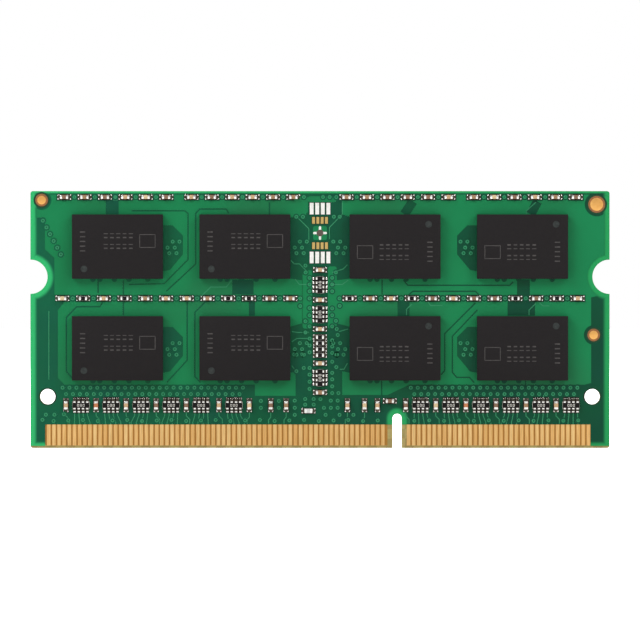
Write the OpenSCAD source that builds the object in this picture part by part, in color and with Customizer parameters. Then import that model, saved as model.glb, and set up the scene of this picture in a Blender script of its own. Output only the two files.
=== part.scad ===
// Small-outline memory module, 204 contacts, memory chips on both faces.
// The module stands on its contact edge: X runs along that edge, Z goes up, and
// Y is the thickness. The origin is the middle of the contact edge, half way through
// the board. The front face looks along -Y. It has the key slot right of its middle.

/* [Board] */
// Length of the board
board_w = 67.6; // [66:0.1:84]
// Height of the board
board_h = 30; // [29:0.5:40]
// Thickness of the board over its contacts
board_t = 1; // [0.8:0.05:1.4]
// Thickness of the core sheet in the middle of the board
core_t = 0.5; // [0.2:0.05:0.6]
// Thickness of one copper layer
copper_t = 0.035; // [0.02:0.005:0.04]
// Thickness of the solder mask, which lies over the copper layer
mask_t = 0.02; // [0.01:0.005:0.04]
// Radius of the board's corners
corner_r = 0.3; // [0.1:0.05:0.8]
// How far the inner copper stops short of every edge
pullback = 0.6; // [0.3:0.05:1]

/* [Edge cut-outs] */
// Radius of the latch notch in each short side
notch_r = 2; // [1.4:0.1:2.4]
// Height of the latch notches' centre
notch_z = 20; // [18.5:0.1:20.5]
// Width of the key slot
key_w = 1.1; // [0.8:0.05:1.4]
// Height of the key slot
key_h = 4; // [3.4:0.1:4.3]
// Centre of the key slot from the right side, seen from the front
key_from_edge = 24.8; // [24.6:0.1:30]
// Diameter of the two tooling holes
hole_d = 1.8; // [1:0.05:2.2]
// Height of the tooling holes' centre
hole_z = 6; // [5:0.1:7]
// Centre of each tooling hole from its side
hole_from_edge = 2; // [1.6:0.1:2.2]
// Height of the bevel along the contact edge
bevel_h = 0.25; // [0.1:0.05:0.28]
// Depth of that bevel on each face
bevel_d = 0.1; // [0.05:0.01:0.14]

/* [Contacts] */
// Distance from one contact to the next
contact_pitch = 0.6; // [0.5:0.01:0.75]
// Width of a contact
contact_w = 0.45; // [0.3:0.01:0.48]
// Length of a contact
contact_len = 2.45; // [2:0.05:2.6]
// Thickness of a contact, copper and gold together
contact_t = 0.04; // [0.03:0.005:0.05]
// Gap between the board's edge and the contacts
contact_lift = 0.3; // [0.25:0.01:0.4]
// From the key slot's centre to the first contact on its left
key_to_long = 1.65; // [1.4:0.05:1.8]
// From the key slot's centre to the first contact on its right
key_to_short = 1.35; // [1.2:0.05:1.6]

/* [Memory chips] */
// Length of a chip package
chip_w = 10.6; // [8:0.1:10.7]
// Height of a chip package on the board
chip_h = 7.5; // [6.2:0.1:9]
// From the board's side to the outer chips
chip_margin = 4.9; // [4.7:0.1:5]
// Width of the channel between the inner chips
channel_w = 6.9; // [6:0.1:7.2]
// From the board's top to the upper chips
top_margin = 2.75; // [2:0.05:3]
// From the contact edge to the lower chips
low_margin = 7.9; // [7:0.1:8]
// Thickness of the black mould cap
mould_t = 0.63; // [0.5:0.01:0.8]
// Thickness of a package's substrate
substrate_t = 0.22; // [0.15:0.01:0.3]
// Height of a package's underside over the laminate
standoff = 0.3; // [0.25:0.01:0.35]
// Distance between solder balls
ball_pitch = 0.8; // [0.65:0.05:1]
// Diameter of a solder ball before it is cut by its two pads
ball_d = 0.45; // [0.36:0.01:0.5]
// Thickness of the silicon die
die_t = 0.25; // [0.1:0.01:0.3]
// Bond wires along each side of a package's slot
wires_per_side = 3; // [2:1:24]

/* [Small parts] */
// Length of a capacitor or resistor
chip_part_l = 1; // [0.8:0.05:1.15]
// Width of a capacitor or resistor
chip_part_w = 0.5; // [0.35:0.05:0.55]
// Height of a capacitor
capacitor_t = 0.5; // [0.3:0.05:0.7]
// Height of a resistor
resistor_t = 0.35; // [0.25:0.05:0.5]
// Length of a resistor array
array_l = 2; // [1.9:0.05:2.3]
// Width of a resistor array
array_w = 1; // [0.8:0.05:1.2]
// Distance between the terminals of an array
array_pitch = 0.5; // [0.4:0.01:0.52]
// Distance between parts in the top row
top_pitch = 2.38; // [2:0.01:2.42]
// Distance between parts in the middle row
mid_pitch = 2.42; // [2:0.01:2.9]
// Distance between the pairs of a capacitor and an array in the bottom row
pair_pitch = 3.51; // [3.4:0.01:4.2]

/* [Vias] */
// Diameter of a via's plated barrel
via_d = 0.3; // [0.2:0.01:0.36]
// Gap round a via in every copper layer
via_clear = 0.24; // [0.15:0.01:0.28]
// Distance between the vias of a row
via_pitch = 0.81; // [0.75:0.01:1]

/* [Hidden] */
$fn = 32;
eps = 0.01;

chip_names = [for (s = ["front", "back"], i = [1:8]) str(s, "_memory_chip_", i)];

FRONT = 0;
BACK = 1;
DARK = "#222122";
GREEN = "#1f7a4a";
GOLD = "#d2a24c";
COPPER = "#c07a45";
TIN = "#d9d9d6";

// Layers, counted outwards from the laminate's face
lam_t = board_t - 2 * contact_t;
prepreg_t = (lam_t - core_t) / 2;
part_lift = copper_t + 0.015;
sub_top = standoff + substrate_t;
attach_t = 0.04;
die_low = sub_top + attach_t;
bead_t = 0.1;

// Board places
hole_x = board_w / 2 - hole_from_edge;
key_x = board_w / 2 - key_from_edge;
contact_top = contact_lift + contact_len;
side_clear = 2;
n_long = 1 + floor((board_w - key_from_edge - key_to_long - side_clear) / contact_pitch);
n_short = 1 + floor((key_from_edge - key_to_short - side_clear) / contact_pitch);
long_x = [for (i = [0:n_long - 1]) key_x - key_to_long - i * contact_pitch];
short_x = [for (i = [0:n_short - 1]) key_x + key_to_short + i * contact_pitch];
window_gap = 0.2;
hole_ring = 0.15;

// Chip places, left to right in each row
inner_x = (channel_w + chip_w) / 2;
outer_x = board_w / 2 - chip_margin - chip_w / 2;
upper_z = board_h - top_margin - chip_h / 2;
lower_z = low_margin + chip_h / 2;
chip_at = [for (z = [upper_z, lower_z], x = [-outer_x, -inner_x, inner_x, outer_x]) [x, z]];
die_w = chip_w - 1.8;
die_h = chip_h - 1.5;
slot_l = die_w - 1.2;
slot_w = 0.9;
bead_w = 1.6;
ball_edge = 0.55;
ball_columns = 1 + floor((chip_w - 2 * ball_edge + 0.5) / ball_pitch);
ball_rows = chip_h / 2 - ball_edge - bead_w / 2 > 2 * ball_pitch + ball_d / 2 ? 3 : 2;
ball_x = [for (c = [0:ball_columns - 1]) (c - (ball_columns - 1) / 2) * ball_pitch];
ball_z = [for (s = [-1, 1], r = [0:ball_rows - 1]) s * (chip_h / 2 - ball_edge - r * ball_pitch)];

// Small parts: x, z and the turn of their long side
top_row_z = board_h - 0.7;
mid_row_z = (upper_z + lower_z) / 2 - 0.1;
bottom_row_z = 5;
row_shift = 0.3;
row_start = 3.45;
top_row = [for (s = [-1, 1], col = [inner_x, outer_x], i = [0:5])
    [s * (col + row_shift + (i - 2.5) * top_pitch), top_row_z, 0]];
n_mid = 1 + floor((board_w / 2 - notch_r - 1 - row_start) / mid_pitch);
function mid_place(s, i) = [s * (row_start + i * mid_pitch), mid_row_z, 0];
function is_resistor(s, i) = i == 3 || i == 8 || i == 10 || i == (s < 0 ? 2 : 0);
mid_capacitors = [for (s = [-1, 1], i = [0:n_mid - 1]) if (!is_resistor(s, i)) mid_place(s, i)];
mid_resistors = [for (s = [-1, 1], i = [0:n_mid - 1]) if (is_resistor(s, i)) mid_place(s, i)];

// Bottom row: a capacitor stands left of each array
pair_gap = pair_pitch / 2;
right_first = key_x + 1;
left_first = -hole_x + 2.15;
n_right = 1 + floor((hole_x - 1.6 - right_first - pair_gap) / pair_pitch);
n_left = 1 + floor((-left_first - 15.5) / pair_pitch);
pairs_x = concat([for (i = [0:n_left - 1]) left_first + i * pair_pitch],
    [-11.8], [for (i = [0:n_right - 1]) right_first + i * pair_pitch]);
pair_capacitors = [for (x = pairs_x) [x, bottom_row_z, 90]];
bottom_capacitors = concat(pair_capacitors,
    [for (x = [-8.25, -5.75, -3.95, 3.2, 5.2]) [x, bottom_row_z, 90]],
    [[6.7, bottom_row_z, 90]], [[key_x - 0.85, 5.5, 0]]);
bottom_arrays = [for (x = pairs_x) [x + pair_gap, bottom_row_z, 0]];

// Middle column
mid_column_capacitors = [for (z = [20.8, 17.3, 13.9, 9.9, 6.5]) [0, z, 0]];
mid_column_arrays = [for (z = [19.05, 15.6, 8.2]) [0, z, 90]];
mid_column_resistors = [for (i = [0:3]) [0, 12.95 - 0.7 * i, 0]];
bead_at = [[-1.35, 4.35, 0]];
spd_z = upper_z + 1.6;

capacitors = concat(top_row, mid_capacitors, bottom_capacitors, mid_column_capacitors);
resistors = concat(mid_resistors, mid_column_resistors);
arrays = concat(bottom_arrays, mid_column_arrays);

// Vias: two rows over the bottom row, one between each two parts of the middle row, a
// cluster beside each chip and a slanting row by the upper left corner
function line_of(x0, x1, z) = [for (x = [x0:via_pitch:x1]) [x, z]];
via_row_z = [low_margin - 0.85, low_margin - 1.6];
left_vias = [for (i = [0, 1]) each line_of(left_first - 0.4 + i * via_pitch / 2, -8.8, via_row_z[i])];
right_vias = [for (i = [0, 1])
    each line_of(key_x + 1.6 + i * via_pitch / 2, hole_x - 1.6, via_row_z[i])];
mid_vias = [for (s = [-1, 1], i = [0:n_mid - 2]) [s * (row_start + (i + 0.5) * mid_pitch), mid_row_z]];
cluster = [[6.4, 0.6], [7.2, 0.6], [5.8, -0.1], [6.65, -0.1], [6, -0.75], [6.85, -0.75]];
cluster_vias = [for (c = chip_at, v = cluster)
    [c[0] - sign(c[0]) * (v[0] + (chip_w - 10.6) / 2), c[1] + v[1]]];
corner_vias = [for (i = [0:5]) [-board_w / 2 + 1.45 + 0.42 * i, board_h - 3.45 - 0.79 * i]];
vias = concat(left_vias, right_vias, mid_vias, cluster_vias, corner_vias);

// Gold targets: x, z, diameter
targets = [[-board_w / 2 + 1.3, board_h - 1.05, 1.2], [board_w / 2 - 1.5, board_h - 1.55, 1.7],
    [board_w / 2 - 1.85, 13.2, 1.2]];
target_gap = 0.55;

// ---- Frames and common shapes ----

// Draws on one face of the laminate: x along the board, y up it, z outwards
module on_face(face) {
    mirror([0, face, 0])
        rotate([90, 0, 0])
            translate([0, 0, lam_t / 2])
                children();
}

// Copies a small part to each of its places
module at(places) {
    for (p = places)
        translate([p[0], p[1], 0])
            rotate([0, 0, p[2]])
                children();
}

module block(l, w, t, z = 0) {
    translate([-l / 2, -w / 2, z])
        cube([l, w, t]);
}

module drill(p, d, t, z = 0) {
    translate([p[0], p[1], z])
        cylinder(h = t, d = d);
}

// A sheet of the board's outline, cut back from every edge by inset
module board_sheet(t, inset = 0) {
    w = board_w - 2 * inset;
    h = board_h - 2 * inset;
    difference() {
        translate([0, inset, 0])
            union() {
                translate([-w / 2 + corner_r, 0, 0])
                    cube([w - 2 * corner_r, h, t]);
                translate([-w / 2, corner_r, 0])
                    cube([w, h - 2 * corner_r, t]);
                for (sx = [-1, 1], z = [corner_r, h - corner_r])
                    drill([sx * (w / 2 - corner_r), z], 2 * corner_r, t);
            }
        for (sx = [-1, 1])
            drill([sx * board_w / 2, notch_z], 2 * (notch_r + inset), t + 2 * eps, -eps);
        for (sx = [-1, 1])
            drill([sx * hole_x, hole_z], hole_d + 2 * inset, t + 2 * eps, -eps);
        key_slot(t, inset);
    }
}

module key_slot(t, inset = 0) {
    straight = key_h - key_w / 2;
    translate([key_x - key_w / 2 - inset, -1, -eps])
        cube([key_w + 2 * inset, straight + 1, t + 2 * eps]);
    drill([key_x, straight], key_w + 2 * inset, t + 2 * eps, -eps);
}

// ---- Laminate and inner copper ----

module core_sheet() {
    color("#c9b98a")
        difference() {
            rotate([90, 0, 0])
                translate([0, 0, -core_t / 2])
                    board_sheet(core_t);
            drills(core_t);
        }
}

module drills(t) {
    rotate([90, 0, 0])
        for (v = vias)
            drill(v, via_d, t + 2, -t / 2 - 1);
}

// A prepreg has a pocket that the inner copper lies in, and a bevel along its lower edge
module prepreg(face) {
    difference() {
        on_face(face)
            translate([0, 0, -prepreg_t])
                board_sheet(prepreg_t);
        inner_copper(face);
        drills(lam_t);
        on_face(face)
            rotate([90, 0, 90])
                translate([0, 0, -board_w])
                    linear_extrude(2 * board_w)
                        polygon([[-1, 0.5], [-1, -bevel_d - bevel_d / bevel_h], [bevel_h, 0],
                            [bevel_h, 0.5]]);
    }
}

module front_prepreg() {
    color("#cdbf92")
        prepreg(FRONT);
}

module back_prepreg() {
    color("#cdbf92")
        prepreg(BACK);
}

module inner_copper(face) {
    on_face(face)
        translate([0, 0, -prepreg_t])
            difference() {
                board_sheet(copper_t, pullback);
                translate([-board_w, -1, -eps])
                    cube([2 * board_w, contact_top + 1, copper_t + 2 * eps]);
                for (v = vias)
                    drill(v, via_d + 2 * via_clear, copper_t + 2 * eps, -eps);
            }
}

module ground_plane() {
    color(COPPER)
        inner_copper(FRONT);
}

module power_plane() {
    color(COPPER)
        inner_copper(BACK);
}

// ---- Vias ----

module via_barrels() {
    reach = lam_t + 2 * copper_t;
    color(COPPER)
        rotate([90, 0, 0])
            for (v = vias)
                difference() {
                    drill(v, via_d, reach, -reach / 2);
                    drill(v, via_d - 0.1, reach + 1, -reach / 2 - 0.5);
                }
}

// ---- Outer copper ----

land_in = 0.28;
land_out = 0.8;
land_w = 0.62;
array_land_in = 0.3;
array_land_out = 0.92;
array_land_w = 1.5 * array_pitch + 0.15;

// The places of all the lands of a face's small parts, a patch round each pair or row of
// lands, grown on every side by g
module land_patches(face, t, g = 0) {
    at(concat(face_capacitors(face), face_resistors(face), face_beads(face)))
        block(2 * land_out + 2 * g, land_w + 2 * g, t);
    at(face_arrays(face))
        for (s = [-1, 1])
            translate([0, s * (array_land_in + array_land_out) / 2, 0])
                block(2 * array_land_w + 2 * g, array_land_out - array_land_in + 2 * g, t);
}

// A patch along each row of balls under each chip
module ball_patches(t, g = 0) {
    for (c = chip_at, z = ball_z)
        translate([c[0], c[1] + z, 0])
            block((ball_columns - 1) * ball_pitch + ball_d + 2 * g, ball_d + 2 * g, t);
}

// A strip of width w along a line of points, with mitred bends
function left_of(p, q) = [p[1] - q[1], q[0] - p[0]] / norm(q - p);
function mitre(points, i, s) =
    let (n = len(points) - 1, j = max(i, 1), k = min(i, n - 1),
        before = left_of(points[j - 1], points[j]), after = left_of(points[k], points[k + 1]))
    points[i] + s * (before + after) / (1 + before * after);

module strip(points, w, t) {
    n = len(points) - 1;
    linear_extrude(t)
        polygon(concat([for (i = [0:n]) mitre(points, i, w / 2)],
            [for (i = [n:-1:0]) mitre(points, i, -w / 2)]));
}

// Where a chip's signals break out towards the module's middle, seen from its centre
breakout = [[chip_w / 2 - 0.2, 2.5], [6.4, 2.5], [7.6, 1.3], [7.6, -0.9], [6.1, -2.7],
    [chip_w / 2 - 0.2, -2.9]];

// Gaps between two pours: the chip they lie beside and their points from its centre
gap_w = 0.16;
gaps = [
    [0, [[1.6, 4.2], [7.8, 4.2], [8.2, 3.9], [8.2, -1.5], [5.4, -4.3], [1.3, -4.4]]],
    [0, [[0.65, -3.9], [0.65, -8]]],
    [0, [[-2.3, -3.9], [-2.3, -5.4]]],
    [1, [[-1.9, 3.9], [-2.2, 4.4], [-5.3, 4.4], [-5.75, 3.9], [-5.75, -2], [-9.2, -5.2]]],
    [1, [[2.85, 5.2], [2.85, 3.7]]],
    [2, [[1, -3.9], [1.5, -4.5], [13.4, -4.5], [13.8, -4.1]]],
    [2, [[1.6, -5.6], [2.1, -5.2], [9.4, -5.2], [9.8, -5.6]]],
    [2, [[-1.5, -3.8], [-1.5, -5.6]]],
    [4, [[-1.8, 5.35], [-2.1, 4.85], [-4.8, 4.85], [-6, 3.6], [-6, -2.7], [-5.3, -3.5]]],
    [4, [[8.1, 5.4], [8.1, -1.4], [5.7, -4]]],
    [5, [[-4.6, 5.45], [-5.85, 4.2], [-5.85, -3.3], [-5.2, -4]]],
    [6, [[9.4, 5.3], [5.8, 1.7], [5.8, -2.6], [5.4, -3.1]]],
    [6, [[-1.55, -3.8], [-1.55, -5.6]]],
    [7, [[-5.2, 4.5], [-8.15, 1.4], [-8.15, -2.8], [-7.65, -3.4], [-6.15, -3.4], [-5.6, -4]]],
    [7, [[0.4, -3.8], [0.4, -5.2]]]
];

// Bare patches in the pours: the chip, the patch's middle from its centre, and its size
bare = [[0, [-0.65, 4.6], [1.5, 1.6]], [1, [-0.25, -4.7], [2.5, 1.7]],
    [3, [0.15, -4.75], [1.5, 1.9]], [5, [0.8, 4.7], [0.7, 1.8]], [6, [1, 4.6], [1.4, 1.8]],
    [7, [-0.1, 4.7], [3.2, 1.8]]];
bare_bands = [[2, [[2.1, 5.3], [1.1, 3.8]]], [3, [[1.8, 5.3], [1, 3.8]]]];

function from_chip(n, points) = [for (p = points) chip_at[n] + p];

// Outlines of the left and right pours
side_x = board_w / 2 - pullback;
low_z = low_margin - 0.5;
mid_z = (upper_z + lower_z) / 2;
lane_x = channel_w / 2;
left_pour = [[-side_x, board_h - 0.4], [-1.6, board_h - 0.4], [-1.6, upper_z + 3.7],
    [-lane_x, upper_z + 3.4], [-lane_x, mid_z + 2.2], [-2.1, mid_z + 2], [-2.1, mid_z - 3],
    [-lane_x, mid_z - 3.4], [-lane_x, lower_z - 2.4], [-2.85, lower_z - 2.9],
    [-2.85, low_z - 1.3], [-7.6, low_z - 1.3], [-7.6, low_z], [-side_x + 3.4, low_z],
    [-side_x + 2.6, low_z + 0.8], [-side_x + 2.6, mid_z - 1.5], [-side_x + 3.3, mid_z - 0.6],
    [-side_x + 2.2, mid_z], [-side_x + 2.2, upper_z - 1.3], [-side_x + 1.1, upper_z - 0.3],
    [-side_x + 1.1, upper_z + 3.4], [-side_x, upper_z + 3.4]];
right_pour = [[2.6, board_h - 0.4], [side_x, board_h - 0.4], [side_x, mid_z + 0.4],
    [side_x - 1.55, mid_z], [side_x - 1.55, low_z + 0.2], [side_x - 2.3, low_z],
    [key_x + 1.4, low_z], [key_x - 1.1, low_z - 1.2], [2.6, low_z - 1.2], [2.6, lower_z - 2.7],
    [lane_x, lower_z - 2.3], [lane_x, mid_z - 3.4], [1.9, mid_z - 3], [1.9, mid_z + 2],
    [lane_x, mid_z + 2.2], [lane_x, upper_z + 3.5], [2.6, upper_z + 3.8]];

// Traces from the contacts up to the arrays of the bottom row
trace_w = 0.1;
function contact_near(x) = x < key_x
    ? long_x[max(0, min(n_long - 1, round((key_x - key_to_long - x) / contact_pitch)))]
    : short_x[max(0, min(n_short - 1, round((x - key_x - key_to_short) / contact_pitch)))];
array_low = bottom_row_z - array_land_out;
fan_points = [for (a = bottom_arrays, k = [-1.5:1.5]) let (c = contact_near(a[0] + k * contact_pitch))
    [[c, contact_top], [c, contact_top + 0.25], [a[0] + k * array_pitch, array_low - 0.25],
        [a[0] + k * array_pitch, array_low]]];

// A trace that runs up the board, as wide as trace_w along x
module trace(points, t) {
    linear_extrude(t)
        polygon(concat([for (p = points) p - [trace_w / 2, 0]],
            [for (i = [len(points) - 1:-1:0]) points[i] + [trace_w / 2, 0]]));
}

module pours(face) {
    difference() {
        linear_extrude(copper_t)
            union() {
                polygon(left_pour);
                polygon(right_pour);
            }
        translate([0, 0, -eps]) {
            t = copper_t + 2 * eps;
            for (c = chip_at)
                translate([c[0], c[1], 0])
                    mirror([c[0] > 0 ? 1 : 0, 0, 0])
                        linear_extrude(t)
                            polygon(breakout);
            for (g = gaps)
                strip(from_chip(g[0], g[1]), gap_w, t);
            for (b = bare)
                translate([chip_at[b[0]][0] + b[1][0], chip_at[b[0]][1] + b[1][1], 0])
                    block(b[2][0], b[2][1], t);
            for (b = bare_bands)
                strip(from_chip(b[0], b[1]), 1.1, t);
            land_patches(face, t, 0.12);
            ball_patches(t, 0.1);
            for (v = vias)
                drill(v, via_d + 2 * via_clear, t);
            for (g = targets)
                drill(g, g[2] + 2 * target_gap, t);
            for (s = [-1, 1]) {
                drill([s * board_w / 2, notch_z], 2 * (notch_r + pullback), t);
                drill([s * hole_x, hole_z], hole_d + 2 * pullback, t);
            }
            spare_pads(t, 0.15);
        }
    }
}

module outer_copper(face) {
    on_face(face) {
        pours(face);
        for (line = fan_points)
            trace(line, copper_t);
    }
}

module front_copper() {
    color(COPPER)
        outer_copper(FRONT);
}

module back_copper() {
    color(COPPER)
        outer_copper(BACK);
}

// ---- Bare metal: targets, contacts and the pads of a sensor that is not fitted ----

module gold_targets() {
    color(GOLD)
        on_face(FRONT)
            for (g = targets)
                drill(g, g[2], contact_t);
}

lead_pitch = 0.65;
lead_land = [0.45, 1.35];
lead_land_z = 2.85;
fine_pitch = 0.5;
fine_pad = [0.33, 0.78];
fine_pad_z = 1.48;
star_w = 0.42;
star_l = 1.8;

// Two rows of four lead lands, two rows of four finer ones and a star between them
module spare_pads(t, g = 0, z = 0) {
    translate([0, spd_z, 0]) {
        for (s = [-1, 1], k = [-1.5:1.5]) {
            translate([k * lead_pitch, s * lead_land_z, 0])
                block(lead_land[0] + 2 * g, lead_land[1] + 2 * g, t, z);
            translate([k * fine_pitch, s * fine_pad_z, 0])
                block(fine_pad[0] + 2 * g, fine_pad[1] + 2 * g, t, z);
        }
        for (a = [45, 135])
            rotate([0, 0, a])
                block(star_l + 2 * g, star_w + 2 * g, t, z);
    }
}

module spare_sensor_pads() {
    color(TIN)
        on_face(FRONT)
            spare_pads(contact_t);
}

module contacts(face, places) {
    color(GOLD)
        on_face(face)
            for (x = places)
                translate([x, contact_lift + contact_len / 2, 0])
                    block(contact_w, contact_len, contact_t);
}

module front_contacts_long() {
    contacts(FRONT, long_x);
}

module front_contacts_short() {
    contacts(FRONT, short_x);
}

module back_contacts_long() {
    contacts(BACK, long_x);
}

module back_contacts_short() {
    contacts(BACK, short_x);
}

// ---- Solder mask ----

// The mask lies over the copper and is open over the contacts, the lands and the targets
module solder_mask(face) {
    t = mask_t + 2 * eps;
    window_x = long_x[n_long - 1] - contact_w / 2 - window_gap;
    color(GREEN)
        on_face(face)
            translate([0, 0, copper_t])
                difference() {
                    board_sheet(mask_t);
                    translate([0, 0, -eps]) {
                        translate([window_x, -1, 0])
                            cube([short_x[n_short - 1] + contact_w / 2 - window_x,
                                contact_top + 1, t]);
                        translate([-board_w, -1, 0])
                            cube([2 * board_w, 1 + bevel_h, t]);
                        for (s = [-1, 1])
                            drill([s * hole_x, hole_z], hole_d + 2 * hole_ring, t);
                        land_patches(face, t, 0.04);
                        ball_patches(t, 0.05);
                        if (face == FRONT) {
                            spare_pads(t, 0.06);
                            for (g = targets)
                                drill(g, g[2] + 0.7, t);
                        }
                        if (face == BACK)
                            translate([0, spd_z, 0])
                                lead_lands(t, 0.05);
                    }
                }
}

module front_solder_mask() {
    solder_mask(FRONT);
}

module back_solder_mask() {
    solder_mask(BACK);
}

// ---- Memory chips ----

// Copies a package's piece to every chip place of a face
module in_each_chip(face) {
    on_face(face)
        for (c = chip_at)
            translate([c[0], c[1], 0])
                children();
}

module mould_cap(face, n) {
    color(DARK)
        on_face(face)
            translate([chip_at[n][0], chip_at[n][1], 0])
                difference() {
                    block(chip_w, chip_h, mould_t, sub_top);
                    block(die_w, die_h, attach_t + die_t, sub_top);
                }
}

module substrates(face) {
    color("#2f5b3c")
        in_each_chip(face)
            difference() {
                block(chip_w, chip_h, substrate_t, standoff);
                block(slot_l, slot_w, 2 * substrate_t, standoff - eps);
            }
}

module dies(face) {
    color("#8d9096")
        in_each_chip(face)
            block(die_w, die_h, die_t, die_low);
}

// The film that glues the die, active face down, over the substrate's slot
module die_attach(face) {
    color("#3a3328")
        in_each_chip(face)
            difference() {
                block(die_w, die_h, attach_t, sub_top);
                block(slot_l, slot_w, attach_t + 2 * eps, sub_top - eps);
            }
}

// A wire's side: down from the die through the slot, and out along the underside
wire_t = 0.035;
wire_side = [[0.1, die_low], [0.15, die_low], [0.38, standoff], [0.62, standoff],
    [0.62, standoff - wire_t], [0.35, standoff - wire_t]];

module wires() {
    wire_pitch = (slot_l - 0.6) / (wires_per_side - 1);
    for (s = [0, 1], i = [0:wires_per_side - 1])
        translate([(i - (wires_per_side - 1) / 2) * wire_pitch, 0, 0])
            mirror([0, s, 0])
                rotate([90, 0, 90])
                    translate([0, 0, -wire_t / 2])
                        linear_extrude(wire_t)
                            polygon(wire_side);
}

module bond_wires(face) {
    color(GOLD)
        in_each_chip(face)
            wires();
}

module slot_resin(face) {
    color(DARK)
        in_each_chip(face)
            difference() {
                union() {
                    block(slot_l, slot_w, die_low - standoff, standoff);
                    block(slot_l + 0.5, bead_w - 0.2, bead_t, standoff - bead_t);
                }
                wires();
            }
}

// A ball and its land, cut flat by the laminate and by the package's underside
module solder_balls(face) {
    color(TIN)
        in_each_chip(face)
            for (x = ball_x, z = ball_z)
                translate([x, z, 0])
                    intersection() {
                        translate([0, 0, standoff / 2])
                            sphere(d = ball_d);
                        block(1, 1, standoff);
                    }
}

module front_chip_substrates() { substrates(FRONT); }
module back_chip_substrates() { substrates(BACK); }
module front_memory_dies() { dies(FRONT); }
module back_memory_dies() { dies(BACK); }
module front_die_attach() { die_attach(FRONT); }
module back_die_attach() { die_attach(BACK); }
module front_bond_wires() { bond_wires(FRONT); }
module back_bond_wires() { bond_wires(BACK); }
module front_slot_resin() { slot_resin(FRONT); }
module back_slot_resin() { slot_resin(BACK); }
module front_solder_balls() { solder_balls(FRONT); }
module back_solder_balls() { solder_balls(BACK); }

// ---- Small parts ----

end_l = 0.25;
array_end_w = 0.3;
array_end_l = 0.22;
film_t = 0.02;

// The middle of a two-ended part
module part_core(t) {
    block(chip_part_l - 2 * end_l, chip_part_w, t, part_lift);
}

module part_ends(t) {
    for (s = [-1, 1])
        translate([s * (chip_part_l - end_l) / 2, 0, 0])
            block(end_l, chip_part_w, t, part_lift);
}

module array_ends(t) {
    for (s = [-1, 1], k = [-1.5:1.5])
        translate([k * array_pitch, s * (array_w - array_end_l) / 2, 0])
            block(array_end_w, array_end_l, t, part_lift);
}

module array_core(t) {
    block(array_l, array_w - 2 * array_end_l, t, part_lift);
}

module capacitor_bodies(face) {
    color("#a5825c")
        on_face(face)
            at(face_capacitors(face))
                part_core(capacitor_t);
}

module capacitor_ends(face) {
    color(TIN)
        on_face(face)
            at(face_capacitors(face))
                part_ends(capacitor_t);
}

module resistor_bodies(face) {
    color("#e4e2dc")
        on_face(face) {
            at(face_resistors(face))
                part_core(resistor_t - film_t);
            at(face_arrays(face))
                array_core(resistor_t - film_t);
        }
}

// The black glass over a resistor's film, between its ends
module resistor_films(face) {
    color(DARK)
        on_face(face)
            translate([0, 0, part_lift + resistor_t - film_t]) {
                at(face_resistors(face))
                    block(chip_part_l - 2 * end_l, chip_part_w, film_t);
                at(face_arrays(face))
                    block(array_l, array_w - 2 * array_end_l, film_t);
            }
}

module resistor_ends(face) {
    color(TIN)
        on_face(face) {
            at(face_resistors(face))
                part_ends(resistor_t);
            at(face_arrays(face))
                array_ends(resistor_t);
        }
}

// A joint's side, with the land in it: flat under the part's end, and sloping up its face
rise = 0.2;
function joint_side(inner, end, outer) = [[inner, 0], [outer, 0], [end, part_lift + rise],
    [end, part_lift], [inner, part_lift]];

module joint(side, w) {
    rotate([90, 0, 0])
        translate([0, 0, -w / 2])
            linear_extrude(w)
                polygon(side);
}

module part_joints() {
    for (s = [0, 1])
        mirror([s, 0, 0])
            joint(joint_side(land_in, chip_part_l / 2, land_out), chip_part_w);
}

module array_joints() {
    for (a = [90, 270], k = [-1.5:1.5])
        rotate([0, 0, a])
            translate([0, k * array_pitch, 0])
                joint(joint_side(array_land_in, array_w / 2, array_land_out), array_end_w);
}

module solder_joints(face) {
    color(TIN)
        on_face(face) {
            at(concat(face_capacitors(face), face_resistors(face), face_beads(face)))
                part_joints();
            at(face_arrays(face))
                array_joints();
        }
}

// The back face has the top row and the bottom row of pairs, and no middle parts
function face_capacitors(face) = face == FRONT ? capacitors : concat(top_row, pair_capacitors);
function face_resistors(face) = face == FRONT ? resistors : [];
function face_arrays(face) = face == FRONT ? arrays : bottom_arrays;
function face_beads(face) = face == FRONT ? bead_at : [];

module front_capacitor_bodies() { capacitor_bodies(FRONT); }
module back_capacitor_bodies() { capacitor_bodies(BACK); }
module front_capacitor_ends() { capacitor_ends(FRONT); }
module back_capacitor_ends() { capacitor_ends(BACK); }
module front_resistor_bodies() { resistor_bodies(FRONT); }
module back_resistor_bodies() { resistor_bodies(BACK); }
module front_resistor_films() { resistor_films(FRONT); }
module back_resistor_films() { resistor_films(BACK); }
module front_resistor_ends() { resistor_ends(FRONT); }
module back_resistor_ends() { resistor_ends(BACK); }
module front_solder_joints() { solder_joints(FRONT); }
module back_solder_joints() { solder_joints(BACK); }

module ferrite_bead() {
    color("#d5d5d2")
        on_face(FRONT)
            at(bead_at)
                block(chip_part_l, chip_part_w, resistor_t, part_lift);
}

// ---- Data chip on the back face ----

spd_w = 3;
spd_l = 4.4;
spd_t = 0.9;
spd_lift = 0.12;
lead_w = 0.24;
lead_t = 0.13;
lead_mid = spd_lift + spd_t / 2;

// A lead's side: a flat stub inside the body, a bend down and a foot on its land
lead_side = [[spd_l / 2 - 0.5, lead_mid], [spd_l / 2 + 0.25, lead_mid],
    [spd_l / 2 + 0.45, part_lift + lead_t], [3.2, part_lift + lead_t], [3.2, part_lift],
    [spd_l / 2 + 0.35, part_lift], [spd_l / 2 + 0.15, lead_mid - lead_t],
    [spd_l / 2 - 0.5, lead_mid - lead_t]];

module on_spd() {
    on_face(BACK)
        translate([0, spd_z, 0])
            children();
}

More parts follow.
